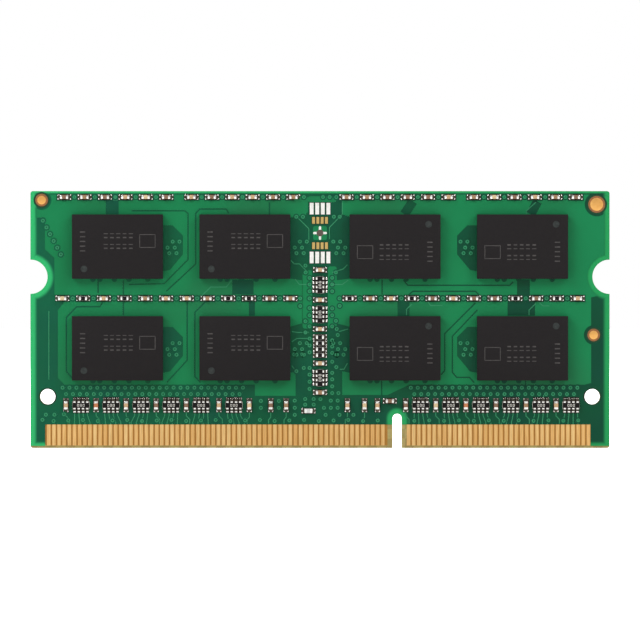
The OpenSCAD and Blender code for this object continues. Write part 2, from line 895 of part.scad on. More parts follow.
module leads() {
    for (a = [90, 270], k = [-1.5:1.5])
        rotate([0, 0, a])
            translate([0, k * lead_pitch, 0])
                joint(lead_side, lead_w);
}

module lead_lands(t, g = 0) {
    for (s = [-1, 1], k = [-1.5:1.5])
        translate([k * lead_pitch, s * lead_land_z, 0])
            block(lead_land[0] + 2 * g, lead_land[1] + 2 * g, t);
}

module spd_leads() {
    color(TIN)
        on_spd() {
            leads();
            lead_lands(part_lift);
        }
}

module spd_die() {
    color("#8d9096")
        on_spd()
            block(1.4, 1.8, 0.2, spd_lift + 0.25);
}

module spd_body() {
    color(DARK)
        on_spd()
            difference() {
                block(spd_w, spd_l, spd_t, spd_lift);
                leads();
                block(1.4, 1.8, 0.2, spd_lift + 0.25);
            }
}

core_sheet();
front_prepreg();
back_prepreg();
ground_plane();
power_plane();
front_copper();
back_copper();
front_solder_mask();
back_solder_mask();
front_contacts_long();
front_contacts_short();
back_contacts_long();
back_contacts_short();
via_barrels();
gold_targets();
spare_sensor_pads();
front_chip_substrates();
back_chip_substrates();
front_memory_dies();
back_memory_dies();
front_die_attach();
back_die_attach();
front_bond_wires();
back_bond_wires();
front_slot_resin();
back_slot_resin();
front_solder_balls();
back_solder_balls();
front_capacitor_bodies();
back_capacitor_bodies();
front_capacitor_ends();
back_capacitor_ends();
front_resistor_bodies();
back_resistor_bodies();
front_resistor_films();
back_resistor_films();
front_resistor_ends();
back_resistor_ends();
front_solder_joints();
back_solder_joints();
spd_body();
spd_leads();
spd_die();
ferrite_bead();
for (i = [1:8]) {
    mould_cap(FRONT, i - 1);
    mould_cap(BACK, i - 1);
}
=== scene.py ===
from math import cos, pi, radians, sin

import bpy
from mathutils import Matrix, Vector


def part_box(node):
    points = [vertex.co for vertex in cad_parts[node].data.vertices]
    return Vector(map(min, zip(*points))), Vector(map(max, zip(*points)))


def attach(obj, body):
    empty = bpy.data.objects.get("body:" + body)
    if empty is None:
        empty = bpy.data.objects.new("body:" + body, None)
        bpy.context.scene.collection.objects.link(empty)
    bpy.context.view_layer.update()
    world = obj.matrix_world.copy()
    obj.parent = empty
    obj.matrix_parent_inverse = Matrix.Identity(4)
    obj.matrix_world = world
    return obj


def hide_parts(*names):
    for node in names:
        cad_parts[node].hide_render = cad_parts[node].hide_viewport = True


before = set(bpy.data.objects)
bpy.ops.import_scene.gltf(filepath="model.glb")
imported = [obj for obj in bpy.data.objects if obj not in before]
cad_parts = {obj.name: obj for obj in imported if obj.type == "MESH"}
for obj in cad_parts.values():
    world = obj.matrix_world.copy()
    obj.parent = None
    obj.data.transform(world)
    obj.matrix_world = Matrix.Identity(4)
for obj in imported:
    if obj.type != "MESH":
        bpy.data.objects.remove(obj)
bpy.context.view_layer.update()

# ---- The camera and the studio ----
# A long lens looks square on at the middle of the board, as for a catalogue plate. The
# module stands on its contact edge on a white sweep, between four soft boxes.
MM = 0.001
board_low, board_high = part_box("core_sheet")
board_w = board_high.x - board_low.x
board_h = board_high.z - board_low.z
camera_away = 455 * MM
lens_mm = 219

bpy.ops.object.camera_add(location=(0, -camera_away, board_h / 2 - 0.05 * MM),
    rotation=(radians(90), 0, 0))
camera = bpy.context.object
camera.data.lens = lens_mm
camera.data.clip_start = 10 * MM
camera.data.clip_end = 20
bpy.context.scene.camera = camera
bpy.context.scene.view_settings.view_transform = "Standard"


def add_node(tree, kind, inputs=None, **settings):
    """Adds a shader node with its settings. Each input is a value, another node's output, or a
    node, which stands for its first output."""
    node = tree.nodes.new("ShaderNode" + kind)
    for name, value in settings.items():
        setattr(node, name, value)
    for key, value in (inputs or {}).items():
        if isinstance(value, bpy.types.Node):
            value = value.outputs[0]
        if isinstance(value, bpy.types.NodeSocket):
            tree.links.new(value, node.inputs[key])
        else:
            node.inputs[key].default_value = value
    return node


def colour(code):
    """The linear colour of an sRGB hex code."""
    parts = [int(code[i:i + 2], 16) / 255 for i in (1, 3, 5)]
    return [p / 12.92 if p <= 0.04045 else ((p + 0.055) / 1.055) ** 2.4 for p in parts] + [1]


def new_material(name, roughness, metallic=0.0, specular=0.5):
    """A material with its roughness, metal and sheen set, its node tree and its shader."""
    made = bpy.data.materials.new(name)
    made.use_nodes = True
    shader = made.node_tree.nodes["Principled BSDF"]
    shader.inputs["Roughness"].default_value = roughness
    shader.inputs["Metallic"].default_value = metallic
    shader.inputs["Specular IOR Level"].default_value = specular
    return made, made.node_tree, shader


def mottle(tree, shader, patch, first, second, detail=3.0):
    """Colours a shader in two tones, which drift into each other over patches of this size."""
    here = add_node(tree, "TexCoord").outputs["Object"]
    drift = add_node(tree, "TexNoise", {"Vector": here, "Scale": 1 / patch, "Detail": detail})
    tones = add_node(tree, "Mix", {0: drift, 6: colour(first), 7: colour(second)}, data_type="RGBA")
    tree.links.new(tones.outputs[2], shader.inputs["Base Color"])
    return drift


# A white card stands straight ahead of each face, and the walls beside it are grey
world = bpy.data.worlds.new("studio")
bpy.context.scene.world = world
world.use_nodes = True
sky = world.node_tree
ahead = add_node(sky, "SeparateXYZ", {0: add_node(sky, "TexCoord").outputs["Generated"]})
squareness = add_node(sky, "Math", {0: ahead.outputs["Y"]}, operation="ABSOLUTE")
walls = add_node(sky, "MapRange", {0: squareness, 1: 0.86, 2: 0.95, 3: 0.16, 4: 0.95})
seen = add_node(sky, "LightPath").outputs["Is Camera Ray"]
brightness = add_node(sky, "Mix", {0: seen, 2: walls, 3: 1.0})
background = sky.nodes["Background"]
sky.links.new(brightness.outputs[0], background.inputs["Strength"])
background.inputs["Color"].default_value = (1, 1, 1, 1)

box_away = 600 * MM
for turn in (-48, 48, 132, 228):
    side = radians(turn)
    place = Vector((box_away * sin(side), -box_away * cos(side), 420 * MM))
    bpy.ops.object.light_add(type="AREA", location=place)
    soft_box = bpy.context.object
    soft_box.data.size = 380 * MM
    soft_box.data.energy = 3.6 if turn < 0 else 3.0
    aim = Vector((0, 0, board_h / 2)) - place
    soft_box.rotation_euler = aim.to_track_quat("-Z", "Y").to_euler()

bpy.ops.mesh.primitive_plane_add(size=12, location=(0, 0, 0))
floor = bpy.context.object
floor.name = "studio_floor"
# White paper, which glows a little for the camera so that it never shows a horizon
sweep, tree, paper = new_material("white_paper_sweep", 0.9, specular=0.1)
mottle(tree, paper, 3 * MM, "#F2F2F0", "#FAFAF8", detail=2.0)
paper.inputs["Emission Color"].default_value = (1, 1, 1, 1)
seen = add_node(tree, "LightPath").outputs["Is Camera Ray"]
glow = add_node(tree, "MapRange", {0: seen, 3: 0.2, 4: 1.0})
tree.links.new(glow.outputs[0], paper.inputs["Emission Strength"])
floor.data.materials.append(sweep)

# ---- The laminate: core sheet and two prepregs ----
# Woven glass in cured epoxy, pressed into one board. It shows in the openings of the
# mask, in the gaps between the contacts and along the routed edges.


def give(node, material):
    """Gives a CAD node its material."""
    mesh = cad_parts[node].data
    mesh.materials.clear()
    mesh.materials.append(material)


# FR-4, glass and epoxy: yellow-brown and half matt, with its weave just showing
laminate, tree, shader = new_material("fr4_glass_epoxy_laminate", 0.6, specular=0.2)
here = add_node(tree, "TexCoord").outputs["Object"]
split = add_node(tree, "SeparateXYZ", {0: here})
yarn_m = 0.55 * MM
weave = add_node(tree, "TexChecker", {"Vector": here, "Scale": 0.5 / yarn_m,
    "Color1": colour("#968A58"), "Color2": colour("#8A7C4C")})
grain = add_node(tree, "TexNoise", {"Vector": here, "Scale": 1 / (0.25 * MM), "Detail": 4.0})
bare = add_node(tree, "Mix", {0: 0.35, 6: weave.outputs["Color"], 7: grain.outputs["Color"]},
    data_type="RGBA", blend_type="SOFT_LIGHT")
# On its two faces the epoxy is drawn brown between the contacts, partly its own tone and partly
# painted shade in the narrow gaps. In the openings higher up it is near black, and dark green near
# the sides: painted shade between the pads and parts. The routed edges stay bare.
face_from = abs(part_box("front_prepreg")[0].y) - 0.012 * MM
row_middle, row_half, row_fade = 1.55 * MM, 1.18 * MM, 0.08 * MM
openings_from, side_from, key_clear = 3 * MM, 31 * MM, 1.12 * MM
depth_in = add_node(tree, "Math", {0: split.outputs["Y"]}, operation="ABSOLUTE")
on_face = add_node(tree, "Math", {0: depth_in, 1: face_from}, operation="GREATER_THAN")
from_middle = add_node(tree, "Math", {0: split.outputs["Z"], 1: row_middle}, operation="SUBTRACT")
off_row = add_node(tree, "Math", {0: from_middle}, operation="ABSOLUTE")
in_row = add_node(tree, "MapRange", {0: off_row, 1: row_half, 2: row_half + row_fade, 3: 1.0, 4: 0.0})
over_row = add_node(tree, "Math", {0: split.outputs["Z"], 1: openings_from}, operation="GREATER_THAN")
high_up = add_node(tree, "Math", {0: over_row, 1: on_face}, operation="MULTIPLY")
key_low, key_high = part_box("front_contacts_long")[1].x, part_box("front_contacts_short")[0].x
key_x = (key_low + key_high) / 2 + 0.15 * MM
from_key = add_node(tree, "Math", {0: split.outputs["X"], 1: key_x}, operation="SUBTRACT")
by_key = add_node(tree, "Math", {0: from_key}, operation="ABSOLUTE")
away = add_node(tree, "Math", {0: by_key, 1: key_clear}, operation="GREATER_THAN")
between_contacts = add_node(tree, "Math", {0: in_row, 1: away}, operation="MULTIPLY")
brown = add_node(tree, "Math", {0: between_contacts, 1: on_face}, operation="MULTIPLY")
# Painted shade in part: the gaps between the contacts are drawn brown
gap_tone_and_shade = add_node(tree, "Mix", {0: brown, 6: bare.outputs[2], 7: colour("#96682A")}, data_type="RGBA")
x_away = add_node(tree, "Math", {0: split.outputs["X"]}, operation="ABSOLUTE")
by_side = add_node(tree, "Math", {0: x_away, 1: side_from}, operation="GREATER_THAN")
# Painted shade: the openings higher up are drawn near black, and dark green near the sides
opening_shade = add_node(tree, "Mix", {0: by_side, 6: colour("#17140F"), 7: colour("#0A3A24")}, data_type="RGBA")
with_opening_shade = add_node(tree, "Mix", {0: high_up, 6: gap_tone_and_shade.outputs[2], 7: opening_shade.outputs[2]}, data_type="RGBA")
tree.links.new(with_opening_shade.outputs[2], shader.inputs["Base Color"])
relief = add_node(tree, "Bump", {"Strength": 0.25, "Distance": 0.01 * MM, "Height": grain})
tree.links.new(relief.outputs["Normal"], shader.inputs["Normal"])
give("front_prepreg", laminate)
give("back_prepreg", laminate)
give("core_sheet", laminate)

# ---- Copper: planes, pours and via barrels ----
# Electrolytic copper foil and plated barrels. Next to none of it shows in the finished
# board, since the mask covers it, only the rims of the openings.

# Etched copper foil: a salmon-red metal with a soft sheen
foil, tree, shader = new_material("etched_copper_foil", 0.45, metallic=1.0)
mottle(tree, shader, 2 * MM, "#C98258", "#A8633D")
for node in ("ground_plane", "power_plane", "front_copper", "back_copper", "via_barrels"):
    give(node, foil)

# ---- The solder mask ----
# A green film of photo-cured epoxy over the whole face. Over bare laminate with the planes
# behind it, it is dark; along the edges, where no plane lies behind, light comes through.

# Cured epoxy ink is satin: it reflects softly, and what lies behind it shows through
mask, tree, shader = new_material("green_solder_mask", 0.38, specular=0.12)
here = add_node(tree, "TexCoord").outputs["Object"]
split = add_node(tree, "SeparateXYZ", {0: here})
notch_z, notch_r = 20 * MM, 2 * MM
key_straight, key_half = 3.45 * MM, 0.55 * MM
# The lit strip inside every edge, and how much narrower it is along the top
lit_all, lit_none, top_narrower = 0.35 * MM, 0.85 * MM, 2.5
across = add_node(tree, "Math", {0: split.outputs["X"]}, operation="ABSOLUTE")
to_side = add_node(tree, "Math", {0: board_w / 2, 1: across}, operation="SUBTRACT")
up = add_node(tree, "Math", {0: split.outputs["Z"], 1: notch_z}, operation="SUBTRACT")
to_notch_middle = add_node(tree, "CombineXYZ", {0: to_side, 1: up})
notch_away = add_node(tree, "VectorMath", {0: to_notch_middle}, operation="LENGTH")
to_notch = add_node(tree, "Math", {0: notch_away.outputs["Value"], 1: notch_r}, operation="SUBTRACT")
key_aside = add_node(tree, "Math", {0: split.outputs["X"], 1: key_x}, operation="SUBTRACT")
key_over = add_node(tree, "Math", {0: split.outputs["Z"], 1: key_straight}, operation="SUBTRACT")
key_above = add_node(tree, "Math", {0: key_over, 1: 0.0}, operation="MAXIMUM")
to_key_middle = add_node(tree, "CombineXYZ", {0: key_aside, 1: key_above})
key_away = add_node(tree, "VectorMath", {0: to_key_middle}, operation="LENGTH")
to_key = add_node(tree, "Math", {0: key_away.outputs["Value"], 1: key_half}, operation="SUBTRACT")
to_top = add_node(tree, "Math", {0: board_h, 1: split.outputs["Z"]}, operation="SUBTRACT")
top_share = add_node(tree, "Math", {0: to_top, 1: top_narrower}, operation="MULTIPLY")
nearest = to_side
for other in (to_notch, to_key, top_share, split.outputs["Z"]):
    nearest = add_node(tree, "Math", {0: nearest, 1: other}, operation="MINIMUM")
lit_edge = add_node(tree, "MapRange", {0: nearest, 1: lit_all, 2: lit_none, 3: 1.0, 4: 0.0},
    interpolation_type="SMOOTHSTEP")
cloud = add_node(tree, "TexNoise", {"Vector": here, "Scale": 1 / (6 * MM), "Detail": 3.0})
# The light that comes through is stronger on the left
leftness = add_node(tree, "MapRange", {0: split.outputs["X"], 1: -board_w / 2, 2: board_w / 2})
even = add_node(tree, "Mix", {0: leftness, 6: colour("#044F34"), 7: colour("#013D28")}, data_type="RGBA")
dark = add_node(tree, "Mix", {0: 0.3, 6: even.outputs[2], 7: cloud.outputs["Color"]},
    data_type="RGBA", blend_type="SOFT_LIGHT")
glow = add_node(tree, "Mix", {0: leftness, 6: colour("#279C5C"), 7: colour("#1B8348")}, data_type="RGBA")
film = add_node(tree, "Mix", {0: lit_edge, 6: dark.outputs[2], 7: glow.outputs[2]}, data_type="RGBA")
tree.links.new(film.outputs[2], shader.inputs["Base Color"])
ripple = add_node(tree, "TexNoise", {"Vector": here, "Scale": 1 / (0.4 * MM), "Detail": 3.0})
relief = add_node(tree, "Bump", {"Strength": 0.2, "Distance": 0.006 * MM, "Height": ripple})
tree.links.new(relief.outputs["Normal"], shader.inputs["Normal"])
give("front_solder_mask", mask)
give("back_solder_mask", mask)

# ---- The mask where it covers copper ----
# The same green film lies higher and looks lighter over the copper pours, and lighter
# still over the fine traces. The relief follows the etched copper under it.
relief_rise = 0.05 * MM


def only(*objects):
    """Selects these objects and nothing else."""
    bpy.ops.object.select_all(action="DESELECT")
    for o in objects:
        o.select_set(True)
    bpy.context.view_layer.objects.active = objects[0]


def join(objects, name):
    """Joins objects into one and names it."""
    only(*objects)
    if len(objects) > 1:
        bpy.ops.object.join()
    joined = bpy.context.object
    joined.name = name
    return joined


def fit_out(piece, material, slot, *nodes):
    """Gives a finished piece its material and body, and hides the nodes it stands for. The slot is not used.
    """
    if material is not None:
        piece.data.materials.clear()
        piece.data.materials.append(material)
    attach(piece, "root")
    if nodes:
        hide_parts(*nodes)


# Metal behind the film gives light back: a clearer green, with the same satin sheen
pour_film, tree, shader = new_material("solder_mask_over_pours", 0.36, specular=0.12)
here = add_node(tree, "TexCoord").outputs["Object"]
cloud = add_node(tree, "TexNoise", {"Vector": here, "Scale": 1 / (7 * MM), "Detail": 4.0})
green = add_node(tree, "Mix", {0: cloud, 6: colour("#0A6439"), 7: colour("#107345")}, data_type="RGBA")
# Painted shade: in broad random patches the green is drawn darker and browner
shade_cloud = add_node(tree, "TexNoise", {"Vector": here, "Scale": 1 / (13 * MM), "Detail": 1.0})
shade_share = add_node(tree, "MapRange", {0: shade_cloud, 1: 0.5, 2: 0.72, 3: 0.0, 4: 0.55})
shaded_green = add_node(tree, "Mix", {0: shade_share, 6: green.outputs[2], 7: colour("#1E5234")}, data_type="RGBA")
tree.links.new(shaded_green.outputs[2], shader.inputs["Base Color"])
ripple = add_node(tree, "TexNoise", {"Vector": here, "Scale": 1 / (0.4 * MM), "Detail": 3.0})
relief = add_node(tree, "Bump", {"Strength": 0.2, "Distance": 0.006 * MM, "Height": ripple})
tree.links.new(relief.outputs["Normal"], shader.inputs["Normal"])

# On the shoulders of fine traces the film is thinner, so it looks paler
trace_film, tree, shader = new_material("solder_mask_over_traces", 0.34, specular=0.12)
mottle(tree, shader, 1.5 * MM, "#1C6B46", "#35825C", detail=2.0)

# An island of the copper longer than this is a pour, and the others are traces
pour_least = 5 * MM
for face, outwards in (("front", -1), ("back", 1)):
    only(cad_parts[face + "_copper"])
    bpy.ops.object.duplicate()
    copper_copy = bpy.context.object
    # The copy is a piece of its own, without the CAD node's marks and parent
    for key in list(copper_copy.keys()):
        del copper_copy[key]
    copper_copy.parent = None
    bpy.ops.object.mode_set(mode="EDIT")
    bpy.ops.mesh.select_all(action="SELECT")
    bpy.ops.mesh.remove_doubles(threshold=0.0005 * MM)
    bpy.ops.transform.translate(value=(0, outwards * relief_rise, 0))
    bpy.ops.mesh.separate(type="LOOSE")
    bpy.ops.object.mode_set(mode="OBJECT")
    parts = list(bpy.context.selected_objects)
    pours = [p for p in parts if max(p.dimensions.x, p.dimensions.z) > pour_least]
    traces = [p for p in parts if p not in pours]
    fit_out(join(pours, face + "_mask_over_pours"), pour_film, "solder_mask")
    fit_out(join(traces, face + "_mask_over_traces"), trace_film, "solder_mask")

# ---- Vias and further traces under the mask ----
# Each via shows as a thin ring of raised mask with a dimple over the barrel, in a dark
# clearance where it passes a pour. Fine traces run from them. They are part of the outer
# copper, and lie under the same green film.
mask_top = max(abs(c) for c in (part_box("front_solder_mask")[0].y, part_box("front_solder_mask")[1].y))
pour_top = max(abs(c) for c in (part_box("front_copper")[0].y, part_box("front_copper")[1].y)) + relief_rise
clear_d, ring_d, ring_hole_d = 0.74 * MM, 0.48 * MM, 0.3 * MM
ring_rise, ring_dip = 0.008 * MM, 0.02 * MM


def islands(node):
    """The lowest and highest corner of each separate solid of a CAD node."""
    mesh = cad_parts[node].data
    spot, places = {}, []
    for v in mesh.vertices:
        key = tuple(round(c / (0.001 * MM)) for c in v.co)
        places.append(spot.setdefault(key, len(spot)))
    parent = list(range(len(spot)))

    def top(i):
        while parent[i] != i:
            parent[i] = parent[parent[i]]
            i = parent[i]
        return i

    for face in mesh.polygons:
        first = places[face.vertices[0]]
        for v in face.vertices:
            parent[top(places[v])] = top(first)
    boxes = {}
    for v in mesh.vertices:
        i = top(places[v.index])
        low, high = boxes.get(i, (v.co.copy(), v.co.copy()))
        boxes[i] = (Vector(map(min, low, v.co)), Vector(map(max, high, v.co)))
    return list(boxes.values())


def copy_of(model):
    """A copy of a model, with a mesh of its own."""
    new = model.copy()
    new.data = model.data.copy()
    bpy.context.collection.objects.link(new)
    return new


def put_copies(model, places, name):
    """Copies a model, made at the origin for the front face, to each (x, z, turn, face) of the
    board, joins the copies and removes the model."""
    copies = []
    for x, z, turn, face in places:
        new = copy_of(model)
        new.location = (x, 0, z)
        new.rotation_euler = (0, radians(turn), 0 if face == "front" else pi)
        copies.append(new)
    only(*copies)
    bpy.ops.object.transform_apply()
    joined = join(copies, name)
    bpy.data.objects.remove(model)
    return joined


def edit(piece):
    """Starts edit mode on one piece with nothing selected."""
    only(piece)
    bpy.ops.object.mode_set(mode="EDIT")
    bpy.ops.mesh.select_all(action="DESELECT")


def pick(piece, kind, test):
    """In edit mode, selects the faces or edges whose middle passes the test."""
    bpy.ops.object.mode_set(mode="OBJECT")
    mesh = piece.data
    for group in (mesh.vertices, mesh.edges, mesh.polygons):
        group.foreach_set("select", [False] * len(group))
    for item in (mesh.polygons if kind == "FACE" else mesh.edges):
        ends = [mesh.vertices[i].co for i in item.vertices]
        item.select = test(sum(ends, Vector()) / len(ends), ends)
    bpy.ops.object.mode_set(mode="EDIT")
    bpy.ops.mesh.select_mode(type=kind)


def recast(piece, number):
    """In edit mode, gives the selected faces another of the piece's materials."""
    piece.active_material_index = number
    bpy.ops.object.material_slot_assign()


def disc(sides, diameter, thick, middle):
    """A plain disc that faces front and back at its place, to be worked on."""
    bpy.ops.mesh.primitive_cylinder_add(vertices=sides, radius=diameter / 2, depth=thick, location=middle,
        rotation=(radians(90), 0, 0))
    bpy.ops.object.transform_apply()
    return bpy.context.object


def block(size, middle, *materials):
    """A plain block of this size at its place, to be worked on."""
    bpy.ops.mesh.primitive_cube_add(size=1, location=middle)
    made = bpy.context.object
    made.scale = size
    bpy.ops.object.transform_apply()
    for m in materials:
        made.data.materials.append(m)
    return made


def round_edges(piece, width, segments, test=lambda middle, ends: True, profile=0.5, material=-1):
    """Bevels the edges of a piece that pass the test, in another of its materials if told."""
    edit(piece)
    pick(piece, "EDGE", test)
    bpy.ops.mesh.bevel(offset=width, segments=segments, profile=profile, affect="EDGES", material=material)
    bpy.ops.object.mode_set(mode="OBJECT")


def runs_through(middle, ends):
    """Whether an edge runs through the thickness of the board."""
    return abs(ends[0].y - ends[1].y) > 0.01 * MM


# The film sinks into the mouth of a barrel, with no copper behind it, and looks dark there
dimple, tree, shader = new_material("solder_mask_in_via_dimples", 0.4, specular=0.12)
mottle(tree, shader, 1.2 * MM, "#074A2E", "#125F3C", detail=2.0)

disc_sunk, disc_proud = 0.01 * MM, 0.004 * MM
disc_t = disc_sunk + pour_top - mask_top + disc_proud
disc_middle = (0, -mask_top - disc_t / 2 + disc_sunk, 0)
ring = disc(12, clear_d, disc_t, disc_middle)
for m in (mask, trace_film, dimple):
    ring.data.materials.append(m)
edit(ring)
pick(ring, "FACE", lambda middle, ends: middle.y < -mask_top - disc_t * 0.6)
bpy.ops.mesh.inset(thickness=(clear_d - ring_d) / 2, depth=0)
bpy.ops.mesh.inset(thickness=0.01 * MM, depth=ring_rise)
recast(ring, 1)
bpy.ops.mesh.inset(thickness=(ring_d - ring_hole_d) / 2, depth=0)
bpy.ops.mesh.inset(thickness=0.02 * MM, depth=-ring_dip)
recast(ring, 2)
bpy.ops.object.mode_set(mode="OBJECT")

via_spots = [((a.x + b.x) / 2 / MM, (a.z + b.z) / 2 / MM) for a, b in islands("via_barrels")]
# Vias that carry signals only, in mm: down both sides of the middle column, under it, over
# the contacts, in the top row and half under the chips
left_column = [(-1.22, z) for z in (19.87, 19.1, 18.3, 17.47, 16.34, 15.49, 14.2, 12.77, 11.97, 11.17,
    9.35, 8.57, 7.75, 6.91)]
left_column += [(-1.7, 21.3), (-1.68, 20.5), (-2.31, 17.47), (-2.31, 16.58), (-1.7, 14.8), (-1.7, 13.5),
    (-1.9, 9.35), (-2.76, 8.98), (-3.02, 10.93), (-2.07, 10.94), (-2.76, 27), (-1.99, 27), (-1.88, 29.3)]
right_column = [(1.42, z) for z in (19.87, 19.1, 18.3, 16.3, 15.5, 14.2, 12.57, 11.85, 11.1, 10.08, 8.78,
    8.03, 7.2, 6.42)]
right_column += [(1.85, 20.5), (2.27, 17.47), (2.3, 16.6), (1.85, 14.85), (1.95, 13.9), (2.07, 13.2),
    (1.9, 9.45), (2.15, 6.42), (2, 10.9), (1.62, 27), (2.3, 27), (0.35, 29.3), (1.13, 29.3), (1.9, 29.3)]
low_middle = [(x, z) for x in (-2.95, 1.26, 2.06) for z in (5.54, 4.7)]
low_middle += [(x, z) for x in (-1.73, -0.74) for z in (5.72, 5.08)] + [(0.05, 5.72), (0.46, 4.7)]
low_middle += [(x, 3.88) for x in (-2.95, 0.65, 2.28, 3.9)]
low_middle += [(x, z) for x in (-6.9, -4.8) for z in (5.5, 4.7)]
contact_row = [(-31.1 + 1.72 * i, 3.16 + 0.06 * (i % 3)) for i in range(23)]
contact_row += [(11 + 1.74 * i, 3.18 + 0.05 * (i % 2)) for i in range(12)]
corner = [(-32.4, 3.3), (-32.0, 3.9), (-31, 3.9), (-29.9, 3.95)]
top_row = [(s * (x + 0.3 + 2.38 * i), 29.3) for s in (-1, 1) for x in (8.75, 23.6) for i in range(-2, 3)]
half_hidden = []
for node in [f"front_memory_chip_{i}" for i in range(1, 9)]:
    low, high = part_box(node)
    x, z = (low.x + high.x) / 2 / MM, low.z / MM
    half_hidden += [(x + dx, z - 0.04) for dx in (-2.9, -2.1, -0.4, 1.3, 3.5)]
small_spots = left_column + right_column + low_middle + contact_row + corner + top_row
clearance = disc(14, 0.66 * MM, disc_t, disc_middle)
round_rim = clearance.modifiers.new("rim", "BEVEL")
round_rim.width = 0.008 * MM
round_rim.segments = 2
only(clearance)
bpy.ops.object.modifier_apply(modifier="rim")
hidden_places = [(x * MM, z * MM, 0, "front") for x, z in half_hidden]
fit_out(put_copies(clearance, hidden_places, "front_clearances_under_chips"), mask, "solder_mask")
front_spots = [(x * MM, z * MM, 0, "front") for x, z in via_spots + small_spots]
back_spots = [(x * MM, z * MM, 0, "back") for x, z in via_spots]
ring_for_back = copy_of(ring)
fit_out(put_copies(ring, front_spots, "front_via_rings"), None, "solder_mask")
fit_out(put_copies(ring_for_back, back_spots, "back_via_rings"), None, "solder_mask")

# Traces on the front face, in mm along and up the board, as etched lines under the mask
trace_w, trace_rise, trace_sunk = 0.1 * MM, 0.034 * MM, 0.004 * MM
routes = [
    [(2.6, 28.8), (2.6, 27.3), (1.1, 25.75), (1.1, 24.4)],
    [(-2.5, 26.8), (-1.3, 25.6), (-1.3, 23.8)],
    [(-10.3, 19.6), (-10.95, 18.8), (-12.75, 18.8), (-13.9, 17.7)],
    [(12.6, 17.05), (12.9, 16.65), (14.3, 16.65)],
    [(10.7, 16.8), (10.1, 16.2), (10.1, 15.5)],
    [(25.6, 17.0), (26.0, 16.6), (26.8, 16.6)],
    [(25.2, 16.9), (24.4, 16.1), (24.4, 15.5)],
    [(-31.65, 16), (-31.65, 8)],
    [(25.2, 28.7), (24.1, 27.7), (24.1, 27.3)],
    [(26.1, 5.9), (26.1, 6.2)],
    [(-3.4, 21.9), (-3, 21.5), (-2.4, 21.5), (-1.4, 20.5)],
    [(-2.9, 19.7), (-2.4, 19.1), (-1.4, 19.1)],
    [(3.2, 21.4), (2.7, 20.9), (1.4, 20.5)],
    [(3.3, 19.6), (2.6, 19.1), (1.4, 19.1)],
    [(-3.3, 13.6), (-2.6, 13.5), (-1.3, 13.5)],
    [(-3.3, 12.4), (-2.7, 12.8), (-1.3, 12.8)],
    [(3.3, 13.9), (2.2, 13.6)],
    [(3.2, 9.9), (2.8, 9.2), (2.3, 9.2)],
    [(-3.3, 9.6), (-2.8, 9)],
]
for x in (-8.25, -5.75, -3.95, 3.2, 5.2):
    routes.append([(x, 4.15), (x, 3.6), (x - 0.25, 3.3), (x - 0.25, 2.85)])
for low, high in islands("front_capacitor_bodies"):
    x, z = (low.x + high.x) / 2 / MM, (low.z + high.z) / 2 / MM
    if z < 5.1 and abs(x) > 9:
        routes.append([(x, 4.2), (x, 3.75), (x + 0.4, 3.35), (x + 0.4, 2.85)])


def etched_line(points):
    """A flat trace along points in mm on the front face: a line, swept through the film's
    thickness, then given its width."""
    x, z = points[0]
    bpy.ops.mesh.primitive_plane_add(size=trace_w, location=(x * MM, -mask_top + trace_sunk, z * MM))
    line = bpy.context.object
    bpy.ops.object.transform_apply()
    bpy.ops.object.mode_set(mode="EDIT")
    bpy.ops.mesh.select_mode(type="VERT")
    bpy.ops.mesh.select_all(action="SELECT")
    bpy.ops.mesh.merge(type="CENTER")
    for (x0, z0), (x1, z1) in zip(points, points[1:]):
        bpy.ops.mesh.extrude_vertices_move(
            TRANSFORM_OT_translate={"value": ((x1 - x0) * MM, 0, (z1 - z0) * MM)})
    bpy.ops.mesh.select_mode(type="EDGE")
    bpy.ops.mesh.select_all(action="SELECT")
    bpy.ops.mesh.extrude_edges_move(TRANSFORM_OT_translate={"value": (0, -trace_rise - trace_sunk, 0)})
    bpy.ops.object.mode_set(mode="OBJECT")
    width = line.modifiers.new("width", "SOLIDIFY")
    width.thickness = trace_w
    width.offset = 0
    width.use_even_offset = True
    bpy.ops.object.modifier_apply(modifier="width")
    edit(line)
    bpy.ops.mesh.select_all(action="SELECT")
    bpy.ops.mesh.normals_make_consistent(inside=False)
    bpy.ops.object.mode_set(mode="OBJECT")
    return line


fit_out(join([etched_line(r) for r in routes], "front_signal_traces"), trace_film, "solder_mask")

# Pours of the middle column, in mm: from x and z, to x and z
pour_blocks = []
for x0, z0, x1, z1 in ((-2.03, 13.95, -0.92, 20.75), (0.92, 13.95, 1.95, 21.2), (-3.05, 27.4, -1.4, 29.4),
        (-1.4, 28.7, 1.9, 29.4), (-0.82, 24.28, 0.82, 25.92)):
    pour = block(((x1 - x0) * MM, pour_top - mask_top + 0.002 * MM, (z1 - z0) * MM),
        ((x0 + x1) / 2 * MM, -(mask_top + pour_top) / 2, (z0 + z1) / 2 * MM))
    round_edges(pour, 0.25 * MM, 3, runs_through)
    pour_blocks.append(pour)
fit_out(join(pour_blocks, "front_column_pours"), pour_film, "solder_mask")

# ---- The contacts ----
# Copper fingers plated with nickel and hard gold, flat and worn lengthways by insertion.
# Drawing marks run up and down each finger.

# Hard gold is a warm metal, streaked along each finger and duller where it is worn
hard_gold, tree, shader = new_material("hard_gold_plating", 0.34, metallic=1.0)
here = add_node(tree, "TexCoord").outputs["Object"]
stretch = add_node(tree, "Mapping", {"Vector": here, "Scale": (1.0, 1.0, 0.05)})
# Brushing marks are finer than this; they are drawn 0.12 mm wide so that they show
brushed = add_node(tree, "TexNoise", {"Vector": stretch, "Scale": 1 / (0.12 * MM),
    "Detail": 3.0, "Roughness": 0.6})
